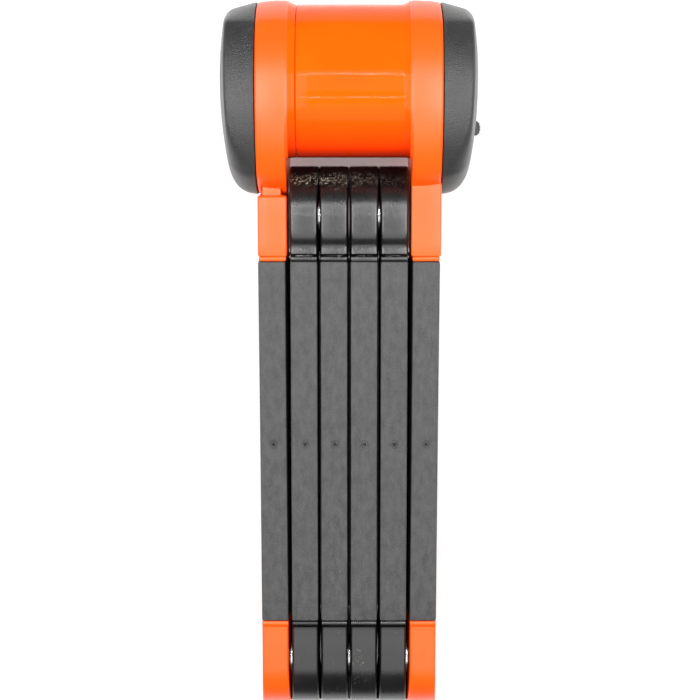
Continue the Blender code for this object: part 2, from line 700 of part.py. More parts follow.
def helix_groove():
    """Cutter that follows the follower's path on the turning drum, a little past both ends."""
    width = 1.5 * (FOLLOWER_RADIUS + 0.0005)    # the groove runs slantwise
    inner = DRUM_RADIUS - GROOVE_DEPTH
    outer = DRUM_RADIUS + 0.001
    rings = []
    steps = 12
    for k in range(steps + 1):
        turn = (-22 + 134 * k / steps) / 90
        angle = math.radians(180 + 90 * turn)
        x = FOLLOWER_X - BOLT_TRAVEL * turn
        ring = []
        for dx, radius in ((-width, inner), (width, inner), (width, outer), (-width, outer)):
            ring.append((x + dx, KEY_Y + radius * math.cos(angle), -radius * math.sin(angle)))
        rings.append(ring)
    return loft(rings)


def make_bolt_drive():
    """Cam drum, turned by the plug, and the bolt that its helical groove draws along."""
    drum = turned([(DRUM_X[0], DRUM_RADIUS - 0.0004), (DRUM_X[0] + 0.0004, DRUM_RADIUS),
                   (DRUM_X[1], DRUM_RADIUS)], KEY_Y, steps=28)
    drum = add_object("cam_drum", drum, STEEL, (0.0, KEY_Y, 0.0))
    cut(drum, "groove", helix_groove())
    profile = [(BOLT_TIP_X, BOLT_RADIUS - 0.0008), (BOLT_TIP_X + 0.0008, BOLT_RADIUS),
               (BOLT_TAIL_X, BOLT_RADIUS)]
    bolt = add_object("locking_bolt", turned(profile, BOLT_Y, steps=20), STEEL,
                      (0.0, BOLT_Y, 0.0))
    follower_top = KEY_Y - DRUM_RADIUS + 0.0016
    follower_foot = BOLT_Y + 0.0008
    middle = (follower_top + follower_foot) / 2
    half = (follower_top - follower_foot) / 2
    seat = rod_along("Y", (FOLLOWER_X, middle, 0.0), half + FIT, FOLLOWER_RADIUS + 0.0002, 12)
    cut(bolt, "seat", seat)
    add_object("bolt_follower_pin",
               rod_along("Y", (FOLLOWER_X, middle, 0.0), half, FOLLOWER_RADIUS, 12), BRIGHT)


def make_detent():
    """Ball and spring that hold the plug in its end positions."""
    ball_y = KEY_Y + PLUG_RADIUS + BALL_RADIUS + 0.0003
    bm = bmesh.new()
    bmesh.ops.create_uvsphere(bm, u_segments=10, v_segments=7, radius=BALL_RADIUS)
    bmesh.ops.translate(bm, verts=bm.verts, vec=(DETENT_X, ball_y, 0.0))
    add_object("detent_ball", bm, BRIGHT)
    start = ball_y + BALL_RADIUS + 0.0006
    turns, steps_per_turn, wire, coil = 4, 9, 0.00025, 0.0010
    pitch = 0.0008
    rings = []
    for k in range(turns * steps_per_turn + 1):
        angle = 2 * math.pi * k / steps_per_turn
        out = Vector((math.cos(angle), 0.0, math.sin(angle)))
        centre = Vector((DETENT_X, start + pitch * k / steps_per_turn, 0.0)) + out * coil
        ring = []
        for corner in range(5):
            t = 2 * math.pi * corner / 5
            ring.append(tuple(centre + out * wire * math.cos(t) + Vector((0, 1, 0)) * wire * math.sin(t)))
        rings.append(ring)
    add_object("detent_spring", loft(rings), BRIGHT)


def make_drill_guard():
    plate = disc(0.0343, 0.0363, RIM_RADIUS - 0.0002, COVER_DISC_Y, steps=28)
    guard = add_object("drill_guard_plate", plate, STEEL, (0.0, COVER_DISC_Y, 0.0))
    cut(guard, "key", disc(0.033, 0.038, 0.0046, KEY_Y, steps=20))


NUB_IN = 0.0100              # from the disc's centre to the inner end of the thumb nub
NUB_OUT = 0.0147
NUB_HALF_WIDTH = 0.0016
NUB_TOP_X = 0.0411


def make_dust_cover():
    """A turning disc whose window comes over the keyway after a quarter turn."""
    step = DISC_LIP_X
    profile = [(DISC_BACK_X, RIM_RADIUS), (step, RIM_RADIUS), (step, COVER_DISC_RADIUS),
               (0.0386, COVER_DISC_RADIUS), (0.0389, COVER_DISC_RADIUS - 0.0005),
               (0.0394, 0.0095), (0.0397, 0.0040)]
    body = turned(profile, COVER_DISC_Y, steps=32)
    cover = add_object("dust_cover", body, BUMPER, (0.0, COVER_DISC_Y, 0.0))
    outline = rounded_box(COVER_DISC_Y - NUB_OUT, COVER_DISC_Y - NUB_IN,
                          -NUB_HALF_WIDTH, NUB_HALF_WIDTH, 0.0006, 2)
    grown = []
    for x, scale in ((0.0380, 1.0), (NUB_TOP_X - 0.0006, 0.96), (NUB_TOP_X, 0.75)):
        middle = COVER_DISC_Y - (NUB_OUT + NUB_IN) / 2
        grown.append([(x, middle + (y - middle) * scale, z * scale) for y, z in outline])
    boolean(cover, cutter("nub_of_dust_cover", loft(grown)), "UNION")
    cut(cover, "window", disc(0.035, 0.042, 0.0044, COVER_DISC_Y, -WINDOW_OFFSET, steps=24))


# ---------------------------------------------------------------- the whole lock
def build():
    clear_scene()
    for link in LINKS:
        make_plate(link)
        make_cover(link)
        if link in "bcde":
            make_cap(link, "upper")
        make_cap(link, "lower")
    make_tongue_cap()
    for hinge in HINGES:
        make_rivet(hinge)
        make_washer(hinge)
    make_main_shell()
    make_socket_shell()
    make_left_bumper()
    make_right_bumper()
    make_case()
    make_end_plate()
    make_sleeve()
    make_plug()
    make_retaining_ring()
    make_bolt_drive()
    make_detent()
    make_drill_guard()
    make_dust_cover()
    make_anchor_pins()


build()
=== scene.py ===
import json
import math

import bmesh
import bpy
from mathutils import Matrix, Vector


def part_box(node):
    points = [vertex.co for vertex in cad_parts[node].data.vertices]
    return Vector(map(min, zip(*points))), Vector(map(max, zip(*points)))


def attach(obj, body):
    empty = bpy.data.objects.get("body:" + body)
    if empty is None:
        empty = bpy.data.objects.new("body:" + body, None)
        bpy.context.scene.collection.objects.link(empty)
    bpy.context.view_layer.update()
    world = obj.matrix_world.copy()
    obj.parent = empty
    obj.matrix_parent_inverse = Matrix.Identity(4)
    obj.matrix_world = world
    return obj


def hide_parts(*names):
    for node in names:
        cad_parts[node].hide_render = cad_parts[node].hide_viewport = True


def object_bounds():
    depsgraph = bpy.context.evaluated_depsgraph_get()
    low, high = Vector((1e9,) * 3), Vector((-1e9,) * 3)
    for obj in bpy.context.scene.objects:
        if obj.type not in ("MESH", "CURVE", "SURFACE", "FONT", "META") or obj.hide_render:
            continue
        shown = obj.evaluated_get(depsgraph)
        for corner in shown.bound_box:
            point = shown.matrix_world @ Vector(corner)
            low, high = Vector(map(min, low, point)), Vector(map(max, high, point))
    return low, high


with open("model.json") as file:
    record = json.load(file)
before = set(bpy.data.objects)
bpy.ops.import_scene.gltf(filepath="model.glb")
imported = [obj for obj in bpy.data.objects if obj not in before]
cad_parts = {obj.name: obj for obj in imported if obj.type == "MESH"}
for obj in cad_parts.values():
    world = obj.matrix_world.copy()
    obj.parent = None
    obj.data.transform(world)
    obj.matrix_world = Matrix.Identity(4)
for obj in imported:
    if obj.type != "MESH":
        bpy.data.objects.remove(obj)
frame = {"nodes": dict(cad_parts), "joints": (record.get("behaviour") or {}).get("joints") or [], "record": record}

CAD_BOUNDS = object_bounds()
MM = 0.001
NODES = frame["nodes"]

# ------------------------------------------------------------------ places, read from the frame
def joint_place(name):
    """A joint's place in the folded lock."""
    return next(Vector(j["pos_m"]) for j in frame["joints"] if j["name"] == name)


def centre_and_size(node):
    """The centre and the size of a CAD node's box."""
    low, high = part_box(node)
    return (low + high) / 2, high - low


MID_Z = joint_place("unfold_ef").z
LOW_Y = joint_place("unfold_ef").y
UP_Y = joint_place("unfold_de").y
HEAD_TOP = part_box("housing_socket_shell")[1].y
HEAD_HEIGHT = 30.2 * MM                   # from the middle of the head to its top
HEAD_Y = HEAD_TOP - HEAD_HEIGHT
HEAD_DEPTH = 27.0 * MM                    # from the middle of the head to its front
FLANGE_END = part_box("housing_main_shell")[1].x
SEAM_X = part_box("housing_main_shell")[0].x
SPACE_TOP = HEAD_Y - 17.8 * MM            # the space under the waist, for links B to E
SPACE_SIDE = 19.2 * MM
STUB_BOTTOM = HEAD_Y - 29.15 * MM         # lower end of the socket for link A's tongue
LEG_END = FLANGE_END + 0.3 * MM
COVER_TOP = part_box("link_b_cover")[1].y
COVER_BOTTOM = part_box("link_b_cover")[0].y
END_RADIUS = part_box("link_b_cover")[1].z - MID_Z
LINKS = "abcdef"
LINK_X = {link: centre_and_size(f"link_{link}_cover")[0].x for link in LINKS}
BODY_OF = {"a": "link_a", "b": "link_b", "c": "link_c", "d": "link_d", "e": "link_e", "f": "head"}


# ------------------------------------------------------------------ small geometry tools
def smooth(t):
    """A soft step from 0 to 1 as t goes from 0 to 1."""
    t = min(max(t, 0.0), 1.0)
    return t * t * (3 - 2 * t)


def arc(cy, cz, radius, start, end, steps):
    """(y, z) points on a circle, angles in degrees from +Y towards +Z, both ends included."""
    turn = [math.radians(start + (end - start) * k / steps) for k in range(steps + 1)]
    return [(cy + radius * math.cos(t), cz + radius * math.sin(t)) for t in turn]


def skin(rings, loop=False):
    """A bmesh of quads through rings of equally many points; a loop joins the last to the first."""
    bm = bmesh.new()
    rows = [[bm.verts.new(p) for p in ring] for ring in rings]
    count = len(rows[0])
    pairs = list(zip(rows, rows[1:]))
    if loop:
        pairs.append((rows[-1], rows[0]))
    for row, following in pairs:
        for k in range(count):
            after = (k + 1) % count
            bm.faces.new((row[k], row[after], following[after], following[k]))
    if not loop:
        bm.faces.new(rows[0])
        bm.faces.new(rows[-1])
    return bm


CRISP = 38                    # degrees; an edge that turns by more than this is drawn crisp


def piece(name, bm, material, body, replaces=(), sharp=CRISP):
    """A finished object from a bmesh in the shared frame, riding on a body if one is named."""
    bmesh.ops.recalc_face_normals(bm, faces=bm.faces)
    mesh = bpy.data.meshes.new(name)
    bm.to_mesh(mesh)
    bm.free()
    mesh.shade_smooth()
    mesh.set_sharp_from_angle(angle=math.radians(sharp))
    made = bpy.data.objects.new(name, mesh)
    bpy.context.scene.collection.objects.link(made)
    made.data.materials.append(material)
    if body:
        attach(made, body)
        if replaces:
            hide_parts(*replaces)
    return made


def helper(name, bm):
    """A shape used only to cut or join; it is removed after use."""
    bmesh.ops.recalc_face_normals(bm, faces=bm.faces)
    mesh = bpy.data.meshes.new(name)
    bm.to_mesh(mesh)
    bm.free()
    made = bpy.data.objects.new(name, mesh)
    bpy.context.scene.collection.objects.link(made)
    return made


def boolean(target, tools, operation="DIFFERENCE", sharp=CRISP):
    """Applies exact booleans, then drops the tools."""
    for tool in tools:
        step = target.modifiers.new("step", "BOOLEAN")
        step.operation = operation
        step.solver = "EXACT"
        step.object = tool
    graph = bpy.context.evaluated_depsgraph_get()
    result = bpy.data.meshes.new_from_object(target.evaluated_get(graph))
    target.modifiers.clear()
    materials = list(target.data.materials)
    target.data = result
    result.materials.clear()
    for material in materials:
        result.materials.append(material)
    result.shade_smooth()
    result.set_sharp_from_angle(angle=math.radians(sharp))
    for tool in tools:
        bpy.data.objects.remove(tool)


def box_shape(x0, x1, y0, y1, z0, z1):
    """A bmesh of a plain box."""
    return skin([[(x, y0, z0), (x, y1, z0), (x, y1, z1), (x, y0, z1)] for x in (x0, x1)])


def turned(profile, cy, cz, steps, closed=False):
    """A solid turned about an X axis from (x, radius) pairs."""
    rings = [[(x, y, z) for y, z in arc(cy, cz, r, 0, 360 * (1 - 1 / steps), steps - 1)]
             for x, r in profile]
    return skin(rings, loop=closed)


CORNERS = ((1, 1, 0), (-1, 1, 90), (-1, -1, 180), (1, -1, 270))   # (x side, z side, start in degrees)
CORNER_STEPS = 4
SWELL_SHAPE = ((0.6, 0.1), (0.35, 0.5), (0.0, 1.0), (-0.35, 0.5), (-0.6, 0.1))   # (height, share)


def bar_section(half_x, half_z, radius, swells=(0.0, 0.0)):
    """(x, z) outline of a moulded bar: flat front and back, sides that swell near mid depth.

    The swells are those of the left and the right side.
    """
    points = []
    for sx, sz, start in CORNERS:
        points += arc(sx * (half_x - radius), sz * (half_z - radius), radius,
                      start, start + 90, CORNER_STEPS)
        if start in (90, 270):
            swell = swells[0] if sx < 0 else swells[1]
            for part, share in SWELL_SHAPE:
                points.append((sx * (half_x + swell * share), sz * half_z * part))
    return points


def limb_rings(x, half, corner, stations):
    """Rings of a straight limb of full depth, from (y, inset in mm) pairs."""
    rings = []
    for y, inset in stations:
        outline = bar_section(half - inset * MM, END_RADIUS - inset * MM, corner)
        rings.append([(x + px, y, MID_Z + pz) for px, pz in outline])
    return rings


def rounded_rectangle(half_x, half_z, radius):
    """(x, z) outline about the origin."""
    points = []
    for sx, sz, start in CORNERS:
        points += arc(sx * (half_x - radius), sz * (half_z - radius), radius,
                      start, start + 90, CORNER_STEPS)
    return points


# ------------------------------------------------------------------ materials
class Recipe:
    """A node material being put together, with shorthand for the nodes used here."""

    def __init__(self, name):
        self.material = bpy.data.materials.new(name)
        self.material.use_nodes = True
        self.tree = self.material.node_tree
        self.shader = self.tree.nodes["Principled BSDF"]
        self.where = self.tree.nodes.new("ShaderNodeTexCoord").outputs["Object"]

    def set(self, **values):
        for key, value in values.items():
            self.shader.inputs[key.replace("_", " ")].default_value = value

    def link(self, source, target):
        self.tree.links.new(source, target)

    def noise(self, scale, detail=4.0, rough=0.5, stretch=None):
        node = self.tree.nodes.new("ShaderNodeTexNoise")
        node.inputs["Scale"].default_value = scale
        node.inputs["Detail"].default_value = detail
        node.inputs["Roughness"].default_value = rough
        source = self.where
        if stretch:
            mapping = self.tree.nodes.new("ShaderNodeMapping")
            mapping.inputs["Scale"].default_value = stretch
            self.link(source, mapping.inputs["Vector"])
            source = mapping.outputs["Vector"]
        self.link(source, node.inputs["Vector"])
        return node.outputs["Fac"]

    def cells(self, scale):
        node = self.tree.nodes.new("ShaderNodeTexVoronoi")
        node.inputs["Scale"].default_value = scale
        self.link(self.where, node.inputs["Vector"])
        return node.outputs["Distance"]

    def ramp(self, source, low, high, value_low=0.0, value_high=1.0):
        node = self.tree.nodes.new("ShaderNodeMapRange")
        for key, value in (("From Min", low), ("From Max", high),
                           ("To Min", value_low), ("To Max", value_high)):
            node.inputs[key].default_value = value
        self.link(source, node.inputs["Value"])
        return node.outputs["Result"]

    def math(self, operation, a, b):
        node = self.tree.nodes.new("ShaderNodeMath")
        node.operation = operation
        for socket, value in zip(node.inputs, (a, b)):
            if isinstance(value, (int, float)):
                socket.default_value = value
            else:
                self.link(value, socket)
        return node.outputs["Value"]

    def blend(self, factor, a, b):
        node = self.tree.nodes.new("ShaderNodeMix")
        node.data_type = "RGBA"
        self.link(factor, node.inputs["Factor"])
        for socket, value in ((node.inputs[6], a), (node.inputs[7], b)):
            if isinstance(value, tuple):
                socket.default_value = (*value, 1.0)
            else:
                self.link(value, socket)
        return node.outputs[2]

    def colour(self, source):
        self.link(source, self.shader.inputs["Base Color"])

    def roughness(self, source):
        self.link(source, self.shader.inputs["Roughness"])

    def bump(self, height, distance, strength=1.0, under=None):
        node = self.tree.nodes.new("ShaderNodeBump")
        node.inputs["Strength"].default_value = strength
        node.inputs["Distance"].default_value = distance
        self.link(height, node.inputs["Height"])
        if under is not None:
            self.link(under, node.inputs["Normal"])
        self.link(node.outputs["Normal"], self.shader.inputs["Normal"])
        return node.outputs["Normal"]

    def axis(self, name):
        node = self.tree.nodes.new("ShaderNodeSeparateXYZ")
        self.link(self.where, node.inputs["Vector"])
        return node.outputs[name]


ORANGE_LIGHT = (0.92, 0.085, 0.0018)
ORANGE_DEEP = (0.92, 0.077, 0.0014)
# the next two colours are painted shade: the waist's orange darkened towards its lower edge and, darker still, on
# its underside above the links
ORANGE_PAINTED_SHADE = (0.88, 0.032, 0.0010)
ORANGE_SHADE = (0.20, 0.010, 0.0010)


def orange(name, index, low, high, painted_shade_below=False):
    m = Recipe(name)
    m.set(IOR=index)
    base = m.blend(m.ramp(m.noise(60.0, 3.0), 0.35, 0.65), ORANGE_DEEP, ORANGE_LIGHT)
    if painted_shade_below:
        # painted shade: the orange darkens from the middle of the head down to the waist's lower edge, then darker
        # still on the underside
        down = m.ramp(m.axis("Y"), HEAD_Y - 1.0 * MM, HEAD_Y - 17.0 * MM)
        base = m.blend(down, base, ORANGE_PAINTED_SHADE)
        under = m.ramp(m.axis("Y"), HEAD_Y - 13.5 * MM, HEAD_Y - 17.6 * MM)
        base = m.blend(under, base, ORANGE_SHADE)
    m.colour(base)
    m.roughness(m.ramp(m.noise(900.0, 2.0), 0.3, 0.7, low, high))
    m.bump(m.noise(450.0, 2.0), 0.00002, 0.5)
    return m.material


def grey_cover():
    m = Recipe("grey_cover")
    m.set(IOR=1.46)
    grain = m.noise(2600.0, 3.0, 0.6)
    mottle = m.noise(520.0, 5.0, 0.65, (1.0, 0.45, 1.0))
    base = m.blend(m.ramp(mottle, 0.35, 0.65), (0.023, 0.0227, 0.023), (0.047, 0.0461, 0.046))
    m.colour(m.blend(m.ramp(grain, 0.50, 0.72, 0.0, 0.45), base, (0.095, 0.092, 0.092)))
    m.roughness(m.ramp(mottle, 0.3, 0.7, 0.56, 0.66))
    first = m.bump(grain, 0.00009, 0.6)
    m.bump(m.noise(500.0, 2.0, 0.5, (1.0, 0.25, 1.0)), 0.00004, 0.5, first)
    return m.material


SCUFF_Y = HEAD_Y - 24.7 * MM   # where the upper ends have rubbed under the head


def black_cap():
    m = Recipe("black_cap")
    m.set(IOR=1.62)
    fine = m.noise(1500.0, 4.0, 0.6)
    streak = m.noise(260.0, 4.0, 0.6, (1.0, 0.12, 1.0))
    rubbed = m.ramp(m.noise(3200.0, 2.0, 0.5, (0.6, 1.4, 1.0)), 0.68, 0.74)
    patch = m.ramp(m.noise(120.0, 2.0), 0.56, 0.70)
    scuff = m.math("MULTIPLY", rubbed, patch)
    dots = m.math("MULTIPLY", m.ramp(m.cells(2100.0), 0.24, 0.40, 1.0, 0.0),
                  m.ramp(m.noise(1300.0, 1.0), 0.40, 0.47))
    away = m.math("ABSOLUTE", m.math("SUBTRACT", m.axis("Y"), SCUFF_Y), 0.0)
    band = m.ramp(m.math("ADD", away, m.ramp(m.noise(400.0), 0.3, 0.7, 0.0, 1.5 * MM)),
                  1.4 * MM, 2.8 * MM, 1.0, 0.0)
    band = m.math("MULTIPLY", band, m.ramp(m.axis("X"), -12.0 * MM, 12.0 * MM, 1.0, 0.15))
    scuff = m.math("MAXIMUM", scuff, m.math("MULTIPLY", dots, band))
    base = m.blend(m.ramp(streak, 0.3, 0.7), (0.0025, 0.0025, 0.0027), (0.0045, 0.0044, 0.0046))
    m.colour(m.blend(scuff, base, (0.55, 0.47, 0.36)))
    m.roughness(m.ramp(streak, 0.3, 0.7, 0.26, 0.30))
    m.bump(fine, 0.00003, 0.4)
    return m.material


def bumper():
    m = Recipe("bumper_rubber")
    m.set(IOR=1.5)
    pores = m.cells(2300.0)
    grain = m.noise(1700.0, 4.0, 0.65)
    leather = m.math("ADD", m.ramp(pores, 0.0, 0.6, 0.0, 0.6), grain)
    patchy = m.ramp(m.noise(90.0, 4.0), 0.35, 0.65)
    base = m.blend(patchy, (0.013, 0.013, 0.013), (0.019, 0.019, 0.019))
    m.colour(m.blend(m.ramp(grain, 0.56, 0.72, 0.0, 0.30), base, (0.07, 0.07, 0.07)))
    m.roughness(m.ramp(grain, 0.3, 0.7, 0.31, 0.40))
    m.bump(leather, 0.00020, 0.7)
    return m.material


def steel(name, shade, rough, scratch):
    m = Recipe(name)
    m.set(Metallic=1.0)
    lines = m.noise(900.0, 4.0, 0.7, scratch)
    darker = tuple(0.86 * c for c in shade)
    m.colour(m.blend(m.ramp(lines, 0.35, 0.65), darker, shade))
    m.roughness(m.ramp(lines, 0.3, 0.7, rough, rough + 0.14))
    m.bump(lines, 0.00001, 0.35)
    return m.material


def brass():
    m = Recipe("brass")
    m.set(Metallic=1.0)
    lines = m.noise(800.0, 3.0, 0.6, (6.0, 1.0, 1.0))
    m.colour(m.blend(m.ramp(lines, 0.3, 0.7), (0.58, 0.40, 0.15), (0.70, 0.51, 0.22)))
    m.roughness(m.ramp(lines, 0.3, 0.7, 0.24, 0.38))
    return m.material


def table_top():
    m = Recipe("table_top")
    m.set(Roughness=0.6)
    cloud = m.noise(3.0, 2.0)
    m.colour(m.blend(m.ramp(cloud, 0.3, 0.7), (0.73, 0.73, 0.73), (0.74, 0.74, 0.74)))
    m.set(Emission_Color=(1.0, 1.0, 1.0, 1.0), Emission_Strength=0.12)
    return m.material


ORANGE = orange("orange_satin", 1.455, 0.33, 0.39)
# the waist's gloss orange also carries painted shade towards its lower edge and underside
ORANGE_GLOSS = orange("orange_gloss", 1.15, 0.03, 0.05, painted_shade_below=True)
GREY = grey_cover()
BLACK = black_cap()
BUMPER = bumper()
PLATE_STEEL = steel("hardened_steel", (0.44, 0.44, 0.45), 0.30, (1.0, 8.0, 1.0))
BRIGHT = steel("bright_steel", (0.78, 0.78, 0.79), 0.16, (1.0, 1.0, 6.0))
BRASS = brass()
SLOT_MATERIAL = {
    "orange_shell": ORANGE,
    "grey_cover": GREY,
    "black_cap": BLACK,
    "bumper_rubber": BUMPER,
    "hardened_steel": PLATE_STEEL,
    "bright_steel": BRIGHT,
    "brass": BRASS,
}


CAD_CRISP = 35                # degrees, in place of CRISP


def dress_cad_nodes():
    """Every carried-over node takes the node material of its slot."""
    for entry in frame["record"]["subparts"]:
        node = NODES[entry["node"]]
        node.data.materials.clear()
        node.data.materials.append(SLOT_MATERIAL[entry["material_slot"]])
        node.data.shade_smooth()
        node.data.set_sharp_from_angle(angle=math.radians(CAD_CRISP))


# ------------------------------------------------------------------ link covers
BAR_HALF = 4.18 * MM          # half thickness at the front and back faces
BAR_SWELL = 0.48 * MM         # more at mid depth
BAR_CORNER = 0.38 * MM
OUTER_SPARE = (LINK_X["b"] - LINK_X["a"]) - (LINK_X["c"] - LINK_X["b"])
LEAN_IN = {"a": 0.35 * MM, "f": -0.35 * MM}   # of the outer links' lower ends, to the stack
SLEEVE_WAIST = 0.05 * MM
PLATE_FIT = 0.3 * MM
COVER_ROWS = [0.0, 0.0018, 0.006] + [k / 16 for k in range(1, 16)] + [0.994, 0.9982, 1.0]
COVER_ROUNDING = {0.0: 0.35 * MM, 0.0018: 0.10 * MM, 0.9982: 0.10 * MM, 1.0: 0.35 * MM}
GATE_RADIUS = 1.05 * MM
GATE_SIDE = 0.2 * MM          # from the sleeve's middle line
GATE_GROOVE = (0.30 * MM, 0.26 * MM)   # half width and half depth
GATE_STEPS, GROOVE_STEPS = 28, 8
PIT_SHAPE = ((0.2, 0.60), (-0.1, 0.52), (-0.7, 0.40), (-1.0, 0.20))   # (height, radius), both in mm
PIT_STEPS = 14
PIT_UNEVEN = 0.22             # share of the radius


def side_swells(link, lean, extra=0.0):
    """Left and right swell; links A and F stand off a little and swell further to the stack."""
    near = BAR_SWELL + extra
    far = near + OUTER_SPARE - abs(lean)
    return {"a": (near, far), "f": (far, near)}.get(link, (near, near))


def plate_room(link):
    """Half thickness and half width of the room for a link's plate."""
    return (centre_and_size(f"link_{link}_plate")[1].x / 2 + PLATE_FIT,
            centre_and_size("link_b_plate")[1].z / 2 + PLATE_FIT)


def gate_ring(x, y, z):
    """Ring groove round the moulding's gate."""
    half_width, half_depth = GATE_GROOVE
    rings = []
    for k in range(GATE_STEPS):
        t = 2 * math.pi * k / GATE_STEPS
        ring = []
        for j in range(GROOVE_STEPS):
            s = 2 * math.pi * j / GROOVE_STEPS
            r = GATE_RADIUS + half_width * math.cos(s)
            ring.append((x + r * math.cos(t), y + r * math.sin(t), z + half_depth * math.sin(s)))
        rings.append(ring)
    return helper("gate", skin(rings, loop=True))


def gate_pit(x, y, face):
    """Small torn pit where the gate broke off, shaped a little differently on each link."""
    rings = []
    for height, radius in PIT_SHAPE:
        ring = []
        for k in range(PIT_STEPS):
            t = 2 * math.pi * k / PIT_STEPS
            r = radius * MM * (1 + PIT_UNEVEN * math.sin(3 * t + 900 * x))
            ring.append((x + r * math.cos(t), y + r * math.sin(t), face + height * MM))
        rings.append(ring)
    return helper("pit", skin(rings))


def make_cover(link):
    """Sleeve with rounded edges, slightly waisted, and a gate mark on its front face."""
    x = LINK_X[link]
    length = COVER_TOP - COVER_BOTTOM
    rings = []
    for part in COVER_ROWS:
        waist = SLEEVE_WAIST * math.sin(math.pi * part)
        inset = COVER_ROUNDING.get(part, 0.0) + waist
        lean = LEAN_IN.get(link, 0.0) * (1 - part)
        outline = bar_section(BAR_HALF - inset, END_RADIUS - inset, BAR_CORNER,
                              side_swells(link, lean, waist))
        rings.append([(x + lean + px, COVER_BOTTOM + length * part, MID_Z + pz) for px, pz in outline])
    cover = piece(f"sleeve_{link}", skin(rings), GREY, BODY_OF[link],
                  [f"link_{link}_cover"])
    middle = (COVER_TOP + COVER_BOTTOM) / 2
    face = MID_Z + END_RADIUS
    half, wide = plate_room(link)
    pocket = box_shape(x - half, x + half, COVER_BOTTOM - MM, COVER_TOP + MM,
                       MID_Z - wide, MID_Z + wide)
    boolean(cover, [gate_ring(x + GATE_SIDE, middle, face - 0.05 * MM),
                    gate_pit(x + GATE_SIDE, middle, face), helper("pocket", pocket)])


# ------------------------------------------------------------------ moulded link ends
COLLAR_START = 0.2 * MM       # from the sleeve
COLLAR_LENGTH = 1.4 * MM
COLLAR_SHAPE = ((0.0, 0.22), (0.14, 0.05), (0.5, 0.0),   # (share of its length, inset in mm)
                (0.86, 0.05), (1.0, 0.22))
COLLAR_GAP = 0.28 * MM        # to the black ends
SEAM_GAP = 0.06 * MM          # to the orange ones
FLASH = 0.07 * MM             # unevenness of the collar's edges
CAP_FILLET = 0.75 * MM
FILLET_STEPS = 5
CAP_CORNER = 0.5 * MM
CHEEK_HOLE = 7.3 * MM         # radius of the opening round the rivet
CHEEK_RIM = 0.25 * MM
CHEEK_LIP = 1.4 * MM          # how deep the opening's wall runs
TIP_STEPS = 44
FLAT_STEPS = 12
CAP_WAIST = 0.05 * MM
TIP_SWELL = 0.15 * MM
UPPER_DENT = 1.2 * MM         # in the front and back edge, short of the collar
LOWER_DENT = 0.06 * MM
DENT_START = 0.25             # share of the way from the pivot to the collar
DENT_FALL = 0.53
DENT_STEPS = 22


def cap_outline(pivot, flat, inset):
    """Half round about the pivot with edges that dip a little before the collar."""
    up = 1 if pivot > flat else -1
    r = END_RADIUS - inset
    straight = abs(pivot - flat)
    dent = UPPER_DENT if up > 0 else LOWER_DENT
    side = []
    for k in range(1, DENT_STEPS):
        part = k / DENT_STEPS
        fall = min(max((part - DENT_START) / DENT_FALL, 0.0), 1.0)
        depth = dent * smooth(fall * fall) * (1 - 0.2 * smooth((part - 0.80) / 0.20))
        side.append((pivot - up * straight * part, up * (r - depth)))
    side += [(flat + up * CAP_CORNER * 0.3, up * r), (flat, up * (r - CAP_CORNER))]
    across = [(flat, up * (r - CAP_CORNER) * (1 - 2 * k / FLAT_STEPS)) for k in range(1, FLAT_STEPS)]
    start = -90 if up > 0 else 90
    round_end = arc(pivot, 0.0, r, start, start + 180, TIP_STEPS)
    return round_end + side + across + [(y, -z) for y, z in reversed(side)]


